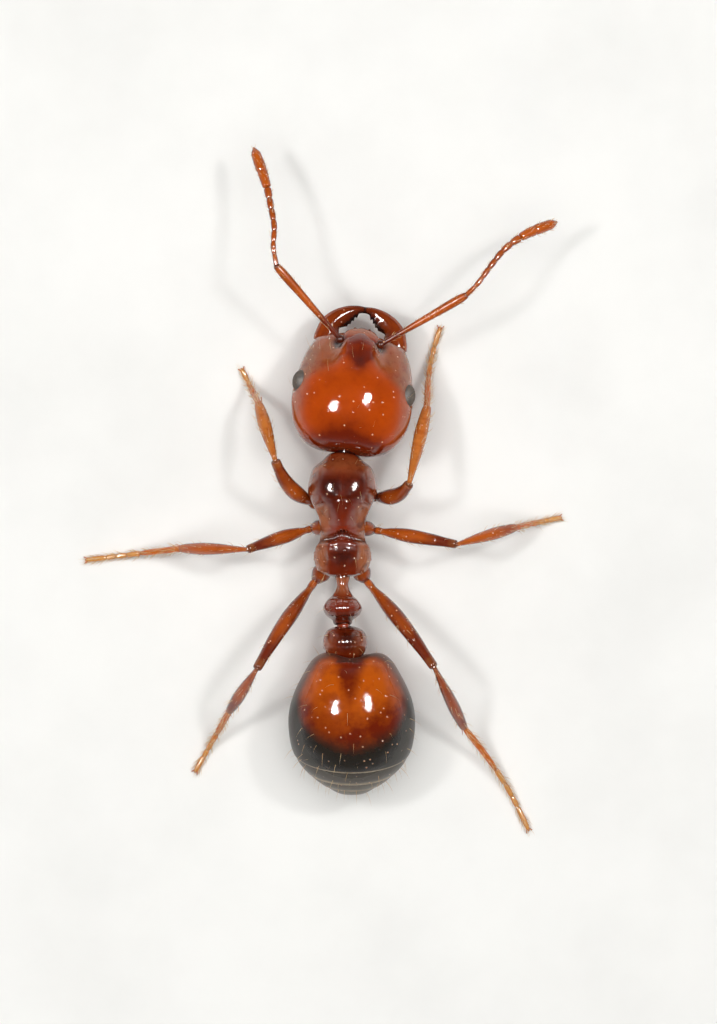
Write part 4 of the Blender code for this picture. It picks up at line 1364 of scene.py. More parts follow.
# How dark the legs' pieces are, and in the foot's case its near and far part.
LEG_DEPTH = {"front": 0.05, "mid": 0.08, "hind": 0.30}
KNEE_DEPTH = {"front": 0.45, "mid": 0.80, "hind": 0.55}
ANKLE_DEPTH = {"front": 0.10, "mid": 0.10, "hind": 0.40}
FOOT_DEPTH = {"front": (0.55, -0.15), "mid": (0.60, -0.30), "hind": (0.60, -0.15)}

# A thigh's place along the line from hip to knee, and its collar's, as shares of that line.
FEMUR_FROM, COLLAR_TO, COLLAR_BOW = 0.06, 0.13, 0.09
COLLAR_SECTIONS, COLLAR_SHARE = ((0, 0.7), (0.5, 1.0), (1, 0.72)), 0.56
COXA_GROOVE_PITCH, COXA_GROOVE_DEPTH = 0.11, 0.006

# Spurs: the front legs have one comb-like spur, the others two short thorns.
SPURS = {"front": (0.20, 0.030), "mid": (0.11, 0.018), "hind": (0.11, 0.018)}
SPUR_TAPER, SPUR_BEND = 0.85, 0.18

# Feet: points along one, its gap to the floor, how steeply it comes down and how deep it's rooted.
FOOT_POINTS, SOLE_GAP, FOOT_STEEPNESS, FOOT_ROOT = 500, 0.0005, 1.7, 0.025

# Claws: reach, drop, spread, hook, width at the root and how much of it is lost at the tip.
CLAW_REACH, CLAW_DROP, CLAW_SPREAD, CLAW_HOOK = 0.052, 0.022, 0.55, math.radians(125)
CLAW_WIDTH, CLAW_TAPER, CLAW_ROWS = 0.017, 0.88, 40
PAD_SIZE = (0.014, 0.016, 0.010)


def leg_points(leg):
    """The socket, hip, knee, ankle and toe of a leg."""
    pair, side = leg.split("_")
    hip, knee, ankle, toe = (np.array(point) for point in LEGS[leg])
    socket = np.array(HIP_SOCKETS[pair]) * (SIDES[side], 1, 1)
    return socket, hip, knee, ankle, toe


def leg_marks(grid, start=0.06, end=0.94, base=0.0, taper=0.5, hairy=0.05):
    """Borders at both ends, pale knobs beside them and painted shade where each piece faces sideways.

    base darkens the whole piece and taper its outer end.
    """
    along = grid.along
    grid.mark("edge", 0.6 * (fall(along, start * 0.2, start * 1.2) + rise(along, (1 + end) / 2, 1.0)))
    grid.mark("pale", 0.15 * (rise(along, end - 0.05, end) + fall(along, start, start * 2.5)))
    # The deep mark: the piece's own darker base and outer end, and painted shade where it faces sideways.
    grid.mark("deep", base + painted_flank_shade(grid) + taper * rise(along, 0.50, 0.86))
    return grid.mark("hairy", hairy)


def coxa_grids(leg):
    """A leg's short first piece, from its socket to the hip."""
    pair = leg.split("_")[0]
    socket, hip, knee, _, _ = leg_points(leg)
    end = hip + unit(hip - socket) * 0.02
    shape = {"flat": 0.95, "rows": 110, "columns": 52}
    grid = limb(socket, end, COXA_SECTIONS, COXA_WIDTHS[pair], knee - hip, **shape)
    grid.push(-striae(grid.along, COXA_GROOVE_PITCH, COXA_GROOVE_DEPTH) * rise(grid.along, 0.75, 0.85))
    return [leg_marks(grid, 0.10, 0.88, 0.35)]


def femur_grids(leg):
    """A leg's thigh and the small collar at its root."""
    pair, side = leg.split("_")
    _, hip, knee, ankle, _ = leg_points(leg)
    out, length, width = unit(knee - hip), np.linalg.norm(knee - hip), FEMUR_WIDTHS[pair]
    across = np.cross(knee - hip, ankle - knee)
    bow = np.array(FEMUR_BOW[pair]) * (SIDES[side], 1, 1)
    shape = {"bow": bow, "flat": 1.02, "rows": 150, "columns": 44, "cap": 0.02}
    grid = limb(hip + out * FEMUR_FROM * length, knee, FEMUR_SECTIONS, width, across, **shape)
    leg_marks(grid, 0.05, 0.93, LEG_DEPTH[pair], KNEE_DEPTH[pair])
    end = hip + out * COLLAR_TO * length + bow * math.sin(math.pi * COLLAR_BOW)
    shape = {"flat": 0.95, "rows": 50, "columns": 36, "cap": 0.25}
    collar = limb(hip - out * 0.03, end, COLLAR_SECTIONS, width * COLLAR_SHARE, across, **shape)
    return [leg_marks(collar, 0.2, 0.8), grid]


def spur(root, way, length, width):
    """A small curved thorn at a joint."""
    root, way = np.array(root, float), unit(way)
    places, closing = rounded(24, 0.10)
    bend = np.cross(way, (0, 0, 1)) * SPUR_BEND * length
    path = root + way * length * places[:, None] + bend * (places**2)[:, None]
    width = width * (1 - SPUR_TAPER * places) * closing
    grid = sweep(path, width, width, (0, 0, 1), 10)
    grid.mark("edge", 0.35)
    return grid.mark("hairy", 0)


def tibia_grids(leg):
    """A leg's shin and the spurs at its end."""
    pair, side = leg.split("_")
    _, hip, knee, ankle, toe = leg_points(leg)
    out = unit(ankle - knee)
    across = np.cross(knee - hip, ankle - knee)
    shape = {"flat": 1.0, "rows": 130, "columns": 40, "cap": 0.025}
    start, end = knee - out * 0.035, ankle + out * 0.012
    grid = limb(start, end, TIBIA_SECTIONS, TIBIA_WIDTHS[pair], across, **shape)
    leg_marks(grid, 0.05, 0.93, LEG_DEPTH[pair] - 0.2, ANKLE_DEPTH[pair], 0.14)
    if pair == "front":
        grid.mark("pale", 0.40)
    grids = [grid]
    onward = unit(toe - ankle)
    inner = unit(np.cross(onward, (0, 0, 1)))
    for turn in (-SIDES[side],) if pair == "front" else (-1, 1):
        root = ankle - out * 0.03 + inner * turn * 0.028 - np.array((0, 0, 0.018))
        grids.append(spur(root, onward + inner * turn * 0.20 - np.array((0, 0, 0.20)), *SPURS[pair]))
    return grids


def foot_path(leg):
    """The tarsus from the ankle down to the floor and along it, and its thickness."""
    _, _, _, ankle, toe = leg_points(leg)
    shares = np.linspace(0, 1, FOOT_POINTS)
    width = TARSUS_WIDTH * profile(TARSUS_SECTIONS, shares)
    bow = np.array(FOOT_BOW.get(leg, (0, 0, 0)))
    path = ankle + (toe - ankle) * shares[:, None] + bow * np.sin(math.pi * shares)[:, None]
    floor = width / 2 + SOLE_GAP
    left = np.maximum(0, 1 - shares / TOUCH_DOWN)
    path[:, 2] = floor + (ankle[2] - floor) * left**FOOT_STEEPNESS
    back = unit(path[0] - path[6]) * FOOT_ROOT
    path = np.concatenate([[path[0] + back, path[0] + back / 2], path])
    return path, np.concatenate([[width[0], width[0]], width])


def foot_chain(leg):
    """The beads of a foot."""
    path, width = foot_path(leg)
    shares = np.linspace(0, 1, len(path))
    closing = np.sqrt(np.clip(np.minimum(shares / 0.01, (1 - shares) / 0.02), 0, 1))
    thick = width / 2 * closing
    thick[[0, -1]] = 0
    near, far = FOOT_DEPTH[leg.split("_")[0]]
    depth = near + (far - near) * rise(shares, 0.34, 0.52)
    return chain(f"{leg}_foot", path, thick, TARSOMERES, 0.34, 5.0, 0.6, depth)


def claw_grids(leg):
    """Two hooked claws and the pad between them."""
    _, _, _, ankle, toe = leg_points(leg)
    onward = unit((toe - ankle) * (1, 1, 0))
    inner = np.cross(onward, (0, 0, 1))
    root = toe - onward * 0.035 + np.array((0, 0, TARSUS_WIDTH * 0.30))
    share = np.linspace(0, 1, CLAW_ROWS)
    angle = np.linspace(0, CLAW_HOOK, CLAW_ROWS)[:, None]
    grids = []
    for turn in (-1, 1):
        reach = onward + inner * turn * CLAW_SPREAD
        drop = np.array((0, 0, CLAW_DROP)) * (np.cos(angle) - 1) * 0.9
        path = root + reach * CLAW_REACH * np.sin(angle) + drop + inner * turn * 0.010
        width = CLAW_WIDTH * (1 - CLAW_TAPER * share**1.4)
        width[0] = 0.004
        grid = sweep(path, width, width, (0, 0, 1), 14)
        grid.mark("edge", rise(share, 0.3, 1)[:, None])
        grids.append(grid.mark("hairy", 0))
    pad = egg(tuple(toe - onward * 0.005 + np.array((0, 0, 0.012))), PAD_SIZE, 20, 20)
    pad.mark("hairy", 0)
    return [*grids, pad.mark("pale", 0.8)]


# ---------------------------------------------------------------- what a user may change


def tint(code):
    """The linear colour of a six-figure colour code."""
    shares = [(code >> shift & 255) / 255 for shift in (16, 8, 0)]
    return tuple(share / 12.92 if share <= 0.04045 else ((share + 0.055) / 1.055) ** 2.4 for share in shares)


def colour_property(name, description, code):
    """A property that holds a colour, whose default is a six-figure code."""
    return FloatVectorProperty(
        name=name, description=description, subtype="COLOR", size=3, min=0.0, max=1.0, default=tint(code)
    )


def length_property(name, description, millimetres):
    """A property that holds a length in metres, whose default is given in mm."""
    return FloatProperty(
        name=name, description=description, unit="LENGTH", min=0.0, precision=5, default=millimetres * MM
    )


class AntColours(bpy.types.PropertyGroup):
    head: colour_property("Head", "Main colour of the head", 0xB84604)
    head_deep: colour_property("Head, deep", "Darker clouds and the back of the head", 0x6E1E04)
    # Painted reflection: on the cheeks and sides of the head this pale colour stands in for the floor
    # reflected in the shell; on the front shield it is the thin shell's own tone.
    head_pale_and_reflection: colour_property("Head, pale", "Thin shell of the cheeks and the front shield", 0x86502E)
    seam: colour_property("Seams", "Borders of plates and sockets", 0x2A0B05)
    thorax: colour_property("Thorax", "Main colour of the thorax and waist", 0x862A08)
    thorax_deep: colour_property("Thorax, deep", "Darker clouds on the thorax and waist", 0x3E0E03)
    # Painted sheen: on the thorax's sides this pale colour stands in for reflection; at the pronotum's front
    # and on the waist it is the shell's own lighter tone.
    thorax_pale_and_sheen: colour_property("Thorax, pale", "Thin shell at the thorax's sides", 0x9E5A34)
    gaster: colour_property("Gaster", "Front of the gaster", 0xB85204)
    # The gaster's deep colour, which on the front plate's sides is painted shade.
    gaster_deep_and_shade: colour_property("Gaster, deep", "Brown wedge and sides of the front plate", 0x6A1C02)
    # The gaster's rear colour, which also paints shade on the front plate's rims.
    gaster_dark_and_shade: colour_property("Gaster, dark", "Rear of the gaster", 0x26211B)
    rim: colour_property("Rims", "Thin pale rims of the gaster's plates", 0xB9A588)
    leg: colour_property("Legs", "Legs and feelers, seen from above", 0xC05A12)
    # The deep colour of legs and feelers, which also paints shade where they face sideways.
    leg_deep_and_shade: colour_property("Legs, deep", "Flanks of the legs and feelers", 0x6E2408)
    foot: colour_property("Feet", "Feet, beyond the ankles", 0xCC8E46)
    leg_edge: colour_property("Legs, joints", "Borders of the joints of legs and feelers", 0x451404)
    foot_edge: colour_property("Feet, joints", "Borders of the joints of the feet", 0x7C3C10)
    jaw: colour_property("Jaws", "Outer side of the jaws", 0x8C360C)
    jaw_edge: colour_property("Jaws, teeth", "Teeth and roots of the jaws", 0x0C0403)
    eye: colour_property("Eyes", "Facets of the eyes", 0x56483A)
    eye_deep: colour_property("Eyes, deep", "Darker clouds on the eyes", 0x2C2420)
    bristle: colour_property("Bristles", "Bristles of the body and limbs", 0xDDBE88)
    bristle_deep: colour_property("Bristles, deep", "The darker of the bristles", 0xC0905A)
    # The colour of the painted glints, pale dots that stand in for highlights at the bristle pits.
    painted_glint_tone: colour_property("Specks", "Dots where bristles root", 0xF0B48C)
    floor: colour_property("Floor", "Floor of the stage", 0xEDECE8)
    floor_deep: colour_property("Floor, deep", "Faint clouds on the floor", 0xE4E3DF)


class AntSizes(bpy.types.PropertyGroup):
    body_bristle: length_property("Body bristle", "Mean length of a bristle on the body", 0.15)
    leg_bristle: length_property("Leg bristle", "Mean length of a bristle on a leg", 0.085)
    feeler_bristle: length_property("Feeler bristle", "Mean length of a bristle on a feeler", 0.045)
    body_density: FloatProperty(
        name="Body density", description="Most bristles in a square mm", min=0, default=30
    )
    limb_density: FloatProperty(
        name="Limb density", description="Most bristles in a square mm", min=0, default=1300
    )
    facets: IntProperty(
        name="Facet steps", description="Fineness of the eyes' facets", min=1, max=4, default=3
    )
    relief: FloatProperty(
        name="Relief", description="Strength of the shell's relief", subtype="FACTOR", default=1.0
    )
    seed: IntProperty(name="Seed", description="Start of the random draws", default=7)


class AntStage(bpy.types.PropertyGroup):
    lamp_power: FloatProperty(
        name="Lamps", description="Power of each lamp", unit="POWER", default=0.0031
    )
    lamp_angle: FloatProperty(
        name="Lamp angle",
        description="Lean of the lamps to either side",
        subtype="ANGLE",
        default=math.radians(26),
    )
    lamp_distance: length_property("Lamp distance", "From the floor to each lamp", 42)
    lamp_size: length_property("Lamp size", "Width of each lamp", 6)
    glint_power: FloatProperty(
        name="Glints", description="Power seen in gloss only", unit="POWER", default=0.029
    )
    glint_size: length_property("Glint size", "Width of what glints", 5.4)
    fill_power: FloatProperty(
        name="Fill", description="Power of the soft top light", unit="POWER", default=0.064
    )
    sky: FloatProperty(name="Sky", description="Strength of the surrounding light", min=0, default=0.05)
    horizon: FloatProperty(
        name="Horizon", description="Strength of the sky near the floor", min=0, default=0.7
    )
    camera_height: length_property("Camera height", "From the floor to the camera", 120)
    view_height: length_property("View height", "What the camera sees, front to back", 12.19)
    view_x: FloatProperty(
        name="View across", description="Middle of the view", unit="LENGTH", default=0.419 * MM
    )
    view_y: FloatProperty(
        name="View along", description="Middle of the view", unit="LENGTH", default=-0.268 * MM
    )


# ---------------------------------------------------------------- finishes


def shell_sculpture(nodes, place, relief=1.0):
    """The shell's fine relief: a faint net of cells, shallow waves and sparse bristle pits."""
    net = nodes.bump(nodes.cells(place, NET_SCALE), NET_DEPTH * relief)
    waves = nodes.bump(nodes.noise(place, WAVE_SCALE, 2.0), WAVE_DEPTH * relief, net)
    pits = nodes.cells(place, PIT_SCALE).between(0.0, 0.2)
    return nodes.bump(pits, PIT_DEPTH * relief, waves)


def painted_glints(nodes, place):
    """Painted glints: pale dots at the pits where bristles root, small, sparse and of unequal strength, that
    stand in for highlights.
    """
    root = 1.0 - nodes.cells(place, PIT_SCALE).between(0.05, 0.14)
    return root * nodes.noise(place, PAINTED_GLINT_SCALE, 2.0).between(0.20, 0.46)


def gloss_and_coat(nodes, place, gloss, coat, dulling):
    """The roughness and the coat of a plate: its matt mark roughens the first and thins the second."""
    matt = nodes.attribute("matt")
    rough = nodes.noise(place, GRAIN_SCALE, 3.0) * 0.06 + (gloss - 0.03) + matt * dulling
    return rough, (1.0 - matt) * coat


# Finishes of the plates: their main, deep, border and pale colours, and what differs from the
# defaults of plate_finish. The pale colours are the thin shell's own tone and also painted reflection,
# sheen and highlights, and the deep ones also painted shade, where the marks put them.
THORAX_COLOURS = ("thorax", "thorax_deep", "seam", "thorax_pale_and_sheen")
LEG_COLOURS = ("leg", "leg_deep_and_shade", "leg_edge", "foot")
PLATES = {
    "head_finish": (("head", "head_deep", "seam", "head_pale_and_reflection"), {"gloss": 0.055}),
    "jaw_finish": (("jaw", "thorax_deep", "jaw_edge", "leg"), {"gloss": 0.06}),
    "thorax_finish": (THORAX_COLOURS, {"gloss": 0.12, "relief": 2.0}),
    "waist_finish": (THORAX_COLOURS, {"gloss": 0.14}),
    "leg_finish": (LEG_COLOURS, {"gloss": 0.15, "wear": 0.6}),
    "shaft_finish": (LEG_COLOURS, {"gloss": 0.28, "wear": 0.6, "ior": 1.3, "coat": 0.1}),
    "foot_finish": (("foot", "leg", "foot_edge", "bristle"), {"gloss": 0.20, "relief": 0.5}),
}


def plate_finish(ant, name):
    """Shell that shades from its main colour to a deeper one in soft clouds.

    The marks deep, edge, pale and matt on the mesh say where it is darker, bordered, pale or dull.
    Deep also carries painted shade where limbs face sideways, and pale carries the thin shell's own
    tone as well as painted reflection on the head, painted sheen on the thorax and painted highlights
    on the jaws.
    """
    colours, differing = PLATES[name]
    bright, deep, edge, pale = (getattr(ant.colours, colour) for colour in colours)
    sets = {"gloss": 0.20, "relief": 1.0, "wear": 0.5, "ior": SHELL_IOR, "coat": SHELL_COAT, **differing}
    nodes = Nodes(name)
    place = nodes.place()
    cloud = nodes.noise(place, CLOUD_SCALE, 4.0).between(0.35, 0.78)
    fleck = nodes.noise(place, FLECK_SCALE, 3.0).between(0.45, 0.80)
    drift = (nodes.noise(place, DRIFT_SCALE, 4.0) - 0.5) * 0.9
    worn = cloud * sets["wear"] * 0.6
    deeper = nodes.attribute("deep") * (drift + 1.0) + worn + fleck * sets["wear"] * 0.25
    colour = nodes.blend(deeper.at_most(1.0), bright, deep)
    # The pale mark: the thin shell's own tone, and painted reflection, sheen and highlights where the marks
    # put them.
    thin = (nodes.attribute("pale") * (drift + 0.9)).at_most(1.0)
    mottle = nodes.noise(place, MOTTLE_SCALE, 4.0, 0.65).between(0.48, 0.72) * 0.75
    colour = nodes.blend(thin, colour, nodes.blend(mottle, pale, deep))
    border = (nodes.attribute("edge") * (drift + 1.0)).between(0.05, 0.95)
    colour = nodes.blend(border, colour, edge)
    # Painted glints: pale dots at the bristle pits stand in for highlights.
    colour = nodes.blend(painted_glints(nodes, place), colour, ant.colours.painted_glint_tone)
    rough, coat = gloss_and_coat(nodes, place, sets["gloss"], sets["coat"], 0.30)
    relief = shell_sculpture(nodes, place, sets["relief"] * ant.sizes.relief)
    return nodes.surface(colour, rough, relief, SHELL_SOFTNESS, coat, sets["gloss"], sets["ior"])


def gaster_finish(ant, name):
    """Orange, brown and near black shell, as the marks deep and dark say, with pale rims."""
    c = ant.colours
    nodes = Nodes(name)
    place = nodes.place()
    drift = nodes.noise(place, GASTER_DRIFT_SCALE, 4.0) - 0.5
    grain = nodes.noise(place, GASTER_GRAIN_SCALE, 3.0) - 0.5
    cloud = nodes.noise(place, GASTER_CLOUD_SCALE, 4.0, 0.6).between(0.42, 0.72)
    deeper = nodes.attribute("deep") * 0.85 + cloud * 0.45 + grain * 0.3 + drift * 0.3
    colour = nodes.blend(deeper.at_most(1.0).at_least(0.0), c.gaster, c.gaster_deep_and_shade)
    dark = (nodes.attribute("dark") + drift * 0.34 + grain * 0.16).between(0.16, 0.86)
    colour = nodes.blend(dark, colour, c.gaster_dark_and_shade)
    colour = nodes.blend(nodes.attribute("edge"), colour, c.seam)
    colour = nodes.blend(nodes.attribute("pale") * (0.75 + grain), colour, c.rim)
    # Painted glints: pale dots at the bristle pits stand in for highlights.
    colour = nodes.blend(painted_glints(nodes, place) * 0.7, colour, c.painted_glint_tone)
    rough, coat = gloss_and_coat(nodes, place, GASTER_GLOSS, SHELL_COAT, 0.32)
    relief = shell_sculpture(nodes, place, ant.sizes.relief)
    return nodes.surface(colour, rough, relief, SHELL_SOFTNESS, coat, ior=SHELL_IOR)


def eye_finish(ant, name):
    """Dull brown facets, mottled with a deeper brown."""
    nodes = Nodes(name)
    mottle = nodes.noise(nodes.place(), EYE_SCALE, 3.0).between(0.3, 0.8)
    colour = nodes.blend(mottle, ant.colours.eye, ant.colours.eye_deep)
    return nodes.surface(colour, EYE_GLOSS + mottle * 0.1, ior=SHELL_IOR)


def bristle_finish(ant, name):
    """Pale straw colour that darkens here and there."""
    nodes = Nodes(name)
    shade = nodes.noise(nodes.place(), BRISTLE_SCALE, 2.0).between(0.3, 0.7)
    colour = nodes.blend(shade, ant.colours.bristle, ant.colours.bristle_deep)
    return nodes.surface(colour, BRISTLE_GLOSS + shade * 0.1, coat=0.2, ior=1.45)


def finish(name):
    """The named finish, made when a piece first asks for it."""
    made = bpy.data.materials.get(name)
    if made is None:
        others = {make.__name__: make for make in (gaster_finish, eye_finish, bristle_finish)}
        made = others.get(name, plate_finish)(bpy.context.scene.ant, name)
    return made


# ---------------------------------------------------------------- operators


def in_head_frame(grids):
    """The grids, moved from the head's own frame to the body's."""
    for grid in grids:
        grid.turn(head_frame())
    return grids


class ANT_OT_head(bpy.types.Operator):
    """Adds the head's shell, its front shield and the mouthparts beneath"""

    bl_idname = "ant.head"
    bl_label = "Head"

    def execute(self, context):
        piece("head_capsule", in_head_frame([head_grid()]), "head_finish", "head_shell", "head")
        piece("clypeus", in_head_frame([clypeus_grid()]), "head_finish", "head_shell")
        piece("mouthparts", in_head_frame(mouth_grids()), "jaw_finish", "jaw_shell")
        return {"FINISHED"}


class ANT_OT_eyes(bpy.types.Operator):
    """Adds the two faceted eyes"""

    bl_idname = "ant.eyes"
    bl_label = "Eyes"

    def execute(self, context):
        for side, sign in SIDES.items():
            values = {"Fineness": context.scene.ant.sizes.facets, "Material": finish("eye_finish")}
            data = grown(f"facets_{side}", bpy.data.meshes.new("seed"), facet_tree, **values)
            data.transform(Matrix.Diagonal((1.0, EYE_LONG, 1.0, 1.0)))
            place = Matrix.Translation((EYE_PLACE[0] * sign, EYE_PLACE[1], EYE_PLACE[2] + EYE_LIFT))
            data.transform(head_frame() @ place)
            finish_piece(add_object(f"facets_{side}", data), "eye", f"eye_{side}")
        return {"FINISHED"}


class ANT_OT_jaws(bpy.types.Operator):
    """Adds the two toothed jaws"""

    bl_idname = "ant.jaws"
    bl_label = "Jaws"

    def execute(self, context):
        for side, sign in SIDES.items():
            grids = in_head_frame([mandible_grid(sign)])
            piece(f"jaw_{side}", grids, "jaw_finish", "jaw_shell", f"mandible_{side}")
        return {"FINISHED"}


class ANT_OT_feelers(bpy.types.Operator):
    """Adds the elbowed feelers: a shaft, a whip of beads and a club"""

    bl_idname = "ant.feelers"
    bl_label = "Feelers"

    def execute(self, context):
        for side in SIDES:
            for name, shapes, look, node in (
                ("shaft", scape_grids(side), "shaft_finish", "scape"),
                ("whip", [lash_chain(side, "whip")], "leg_finish", "funiculus"),
                ("club", [lash_chain(side, "club")], "leg_finish", "club"),
            ):
                piece(f"feeler_{side}_{name}", shapes, look, "feeler_shell", f"antenna_{side}_{node}")
        return {"FINISHED"}


class ANT_OT_thorax(bpy.types.Operator):
    """Adds the thorax with its pressed-in seams, and the neck"""

    bl_idname = "ant.thorax"
    bl_label = "Thorax"

    def execute(self, context):
        plates = ("pronotum", "mesothorax", "propodeum")
        piece("thorax", [thorax_grid()], "thorax_finish", "thorax_shell", *plates)
        piece("neck", [neck_grid()], "thorax_finish", "thorax_shell")
        return {"FINISHED"}


class ANT_OT_waist(bpy.types.Operator):
    """Adds the two knots of the waist"""

    bl_idname = "ant.waist"
    bl_label = "Waist"

    def execute(self, context):
        piece("waist_front", [petiole_grid()], "waist_finish", "thorax_shell", "petiole")
        rear = [postpetiole_grid(), waist_link_grid()]
        piece("waist_rear", rear, "waist_finish", "thorax_shell", "postpetiole")
        return {"FINISHED"}


class ANT_OT_gaster(bpy.types.Operator):
    """Adds the gaster's four overlapping plates"""

    bl_idname = "ant.gaster"
    bl_label = "Gaster"

    def execute(self, context):
        front, *rear = gaster_plates()
        piece("gaster_plate_1", [front_plate_marks(front)], "gaster_finish", "gaster_front", "gaster_1")
        for number, plate in enumerate(rear, start=2):
            plate.mark("dark", REAR_DARKNESS)
            piece(f"gaster_plate_{number}", [plate], "gaster_finish", "gaster_rear", f"gaster_{number}")
        return {"FINISHED"}


class ANT_OT_legs(bpy.types.Operator):
    """Adds the six legs, joint by joint, with spurs, soles and claws"""

    bl_idname = "ant.legs"
    bl_label = "Legs"

    def execute(self, context):
        for leg in LEGS:
            for name, make in (("coxa", coxa_grids), ("femur", femur_grids), ("tibia", tibia_grids)):
                piece(f"{leg}_{name}_shell", make(leg), "leg_finish", "leg_shell", f"{leg}_{name}")
            piece(f"{leg}_foot", [foot_chain(leg)], "foot_finish", "foot_shell", f"{leg}_tarsus")
            piece(f"{leg}_claws", claw_grids(leg), "leg_finish", "foot_shell")
        return {"FINISHED"}


class ANT_OT_bristles(bpy.types.Operator):
    """Adds the bristles of the body, the legs and the feelers"""

    bl_idname = "ant.bristles"
    bl_label = "Bristles"

    def execute(self, context):
        sizes = context.scene.ant.sizes
        seeds = itertools.count(sizes.seed)
        long = {"Length": sizes.body_bristle / MM, "Density": sizes.body_density, **BODY_BRISTLES}
        bristles("head_bristles", in_head_frame([head_grid()]), "head_shell", next(seeds), **long)
        body = [thorax_grid(), petiole_grid(), postpetiole_grid()]
        bristles("thorax_bristles", body, "thorax_shell", next(seeds), **long)
        front, *rear = gaster_plates()
        plates = [front_plate_marks(front), *(plate.mark("hairy", 1) for plate in rear)]
        long["Thickness"] = GASTER_BRISTLE_WIDTH
        bristles("gaster_bristles", plates, "gaster_rear", next(seeds), **long)
        short = {"Length": sizes.leg_bristle / MM, "Density": sizes.limb_density, **LIMB_BRISTLES}
        for leg in LEGS:
            skins = [*coxa_grids(leg), *femur_grids(leg), *tibia_grids(leg), foot_chain(leg)]
            bristles(f"{leg}_bristles", skins, "leg_shell", next(seeds), **short)
        short["Length"] = sizes.feeler_bristle / MM
        short["Density"] = sizes.limb_density / 4
        for side in SIDES:
            skins = [*scape_grids(side), *(lash_chain(side, part) for part in LASH_PARTS)]
            bristles(f"feeler_{side}_bristles", skins, "feeler_shell", next(seeds), **short)
        return {"FINISHED"}


# The stage, in metres: the camera's sensor in mm and its clipping, the floor's half width and how
# far it lies below the feet, and the height at which the view has its given size.
SENSOR, CLIP_START, CLIP_END = 36.0, 0.001, 10.0
FLOOR_HALF, FLOOR_DROP, MIDDLE_HEIGHT = 0.20, 0.00002, 0.0008

# Lamps: how far ahead they stand as a share of their distance, and how much that differs by side.
LAMPS_AHEAD, LAMP_STAGGER = 0.17, 0.05
SKY_COLOUR, HORIZON_NARROWNESS = (0.93, 0.96, 1.0, 1.0), 5.0


def lamp(name, place, size, power, in_gloss=True, in_matt=True):
    """A round lamp that faces the middle of the floor. It may leave out glossy or matt light."""
    data = bpy.data.lights.new(name, "AREA")
    data.shape = "DISK"
    data.size = size
    data.energy = power
    obj = add_object(name, data)
    obj.location = place
    obj.rotation_euler = Vector(place).to_track_quat("Z", "Y").to_euler()
    obj.visible_glossy = in_gloss
    obj.visible_diffuse = in_matt
    obj.visible_transmission = in_matt
    return obj


def floor_finish(colours):
    """Matt and almost white, with faint clouds."""
    nodes = Nodes("floor")
    cloud = nodes.noise(nodes.place(), FLOOR_SCALE, 4.0).between(0.3, 0.8)
    return nodes.surface(nodes.blend(cloud, colours.floor, colours.floor_deep), FLOOR_GLOSS)


def sky(overhead, horizon):
    """A sky that is brighter towards the horizon, as the walls of a light tent are."""
    world = bpy.data.worlds.new("soft_sky")
    world.use_nodes = True
    background = world.node_tree.nodes["Background"].inputs
    background["Color"].default_value = SKY_COLOUR
    wiring = Wiring(world.node_tree)
    way = wiring.add("ShaderNodeTexCoord", output="Generated")
    height = wiring.add("ShaderNodeSeparateXYZ", {0: way}, "Z")
    wiring.feed(background["Strength"], (1.0 - abs(height)) ** HORIZON_NARROWNESS * horizon + overhead)
    return world


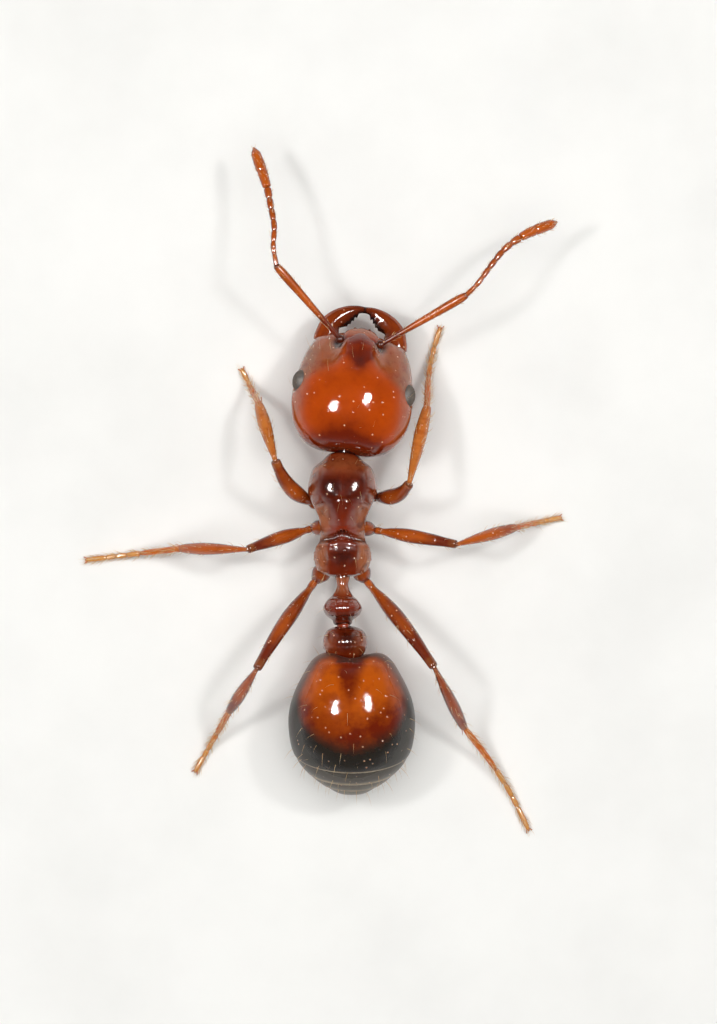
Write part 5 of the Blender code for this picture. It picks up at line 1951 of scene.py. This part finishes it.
class ANT_OT_stage(bpy.types.Operator):
    """Adds the pale floor, the soft lamps and the camera overhead"""

    bl_idname = "ant.stage"
    bl_label = "Stage"

    def execute(self, context):
        scene = context.scene
        stage = scene.ant_stage
        half = FLOOR_HALF
        corners = [(-half, -half), (half, -half), (half, half), (-half, half)]
        data = bpy.data.meshes.new("floor")
        data.from_pydata([(x, y, -FLOOR_DROP) for x, y in corners], [], [(0, 1, 2, 3)])
        data.materials.append(floor_finish(scene.ant.colours))
        add_object("floor", data)

        lean, away = stage.lamp_angle, stage.lamp_distance
        for side, sign in SIDES.items():
            ahead = LAMPS_AHEAD + LAMP_STAGGER * sign
            place = (math.sin(lean) * away * sign, ahead * away, math.cos(lean) * away)
            lamp(f"lamp_{side}", place, stage.lamp_size, stage.lamp_power)
            lamp(f"glint_{side}", place, stage.glint_size, stage.glint_power, in_matt=False)
        lamp("fill", (0, 0, 2 * away), 2 * away, stage.fill_power, in_gloss=False)

        scene.world = sky(stage.sky, stage.horizon)
        scene.view_settings.view_transform = "Standard"

        camera = bpy.data.cameras.new("overhead")
        camera.sensor_width = SENSOR
        camera.lens = SENSOR * (stage.camera_height - MIDDLE_HEIGHT) / stage.view_height
        camera.clip_start, camera.clip_end = CLIP_START, CLIP_END
        obj = add_object("overhead", camera)
        obj.location = (stage.view_x, stage.view_y, stage.camera_height)
        scene.camera = obj
        return {"FINISHED"}


class AntModel(bpy.types.PropertyGroup):
    colours: PointerProperty(
        name="Colours", description="Colours of the shell and bristles", type=AntColours
    )
    sizes: PointerProperty(name="Sizes", description="Sizes of the fine details", type=AntSizes)


OPERATORS = (
    ANT_OT_head,
    ANT_OT_eyes,
    ANT_OT_jaws,
    ANT_OT_feelers,
    ANT_OT_thorax,
    ANT_OT_waist,
    ANT_OT_gaster,
    ANT_OT_legs,
    ANT_OT_bristles,
    ANT_OT_stage,
)


class ANT_PT_sidebar(bpy.types.Panel):
    """Lists the ant's pieces and what may be changed"""

    bl_idname = "ANT_PT_sidebar"
    bl_label = "Fire ant"
    bl_space_type = "VIEW_3D"
    bl_region_type = "UI"
    bl_category = "Ant"

    def draw(self, context):
        layout = self.layout
        for operator in OPERATORS:
            layout.operator(operator.bl_idname)
        scene = context.scene
        for group in (scene.ant.colours, scene.ant.sizes, scene.ant_stage):
            box = layout.box()
            for key in group.__annotations__:
                box.prop(group, key)


CLASSES = (AntColours, AntSizes, AntStage, AntModel, *OPERATORS, ANT_PT_sidebar)


def register():
    for found in CLASSES:
        bpy.utils.register_class(found)
    bpy.types.Scene.ant = PointerProperty(type=AntModel)
    bpy.types.Scene.ant_stage = PointerProperty(type=AntStage)


def unregister():
    del bpy.types.Scene.ant_stage
    del bpy.types.Scene.ant
    for found in reversed(CLASSES):
        bpy.utils.unregister_class(found)


def main():
    register()
    bpy.ops.ant.head()
    bpy.ops.ant.eyes()
    bpy.ops.ant.jaws()
    bpy.ops.ant.feelers()
    bpy.ops.ant.thorax()
    bpy.ops.ant.waist()
    bpy.ops.ant.gaster()
    bpy.ops.ant.legs()
    bpy.ops.ant.bristles()
    bpy.ops.ant.stage()


if __name__ == "__main__":
    main()
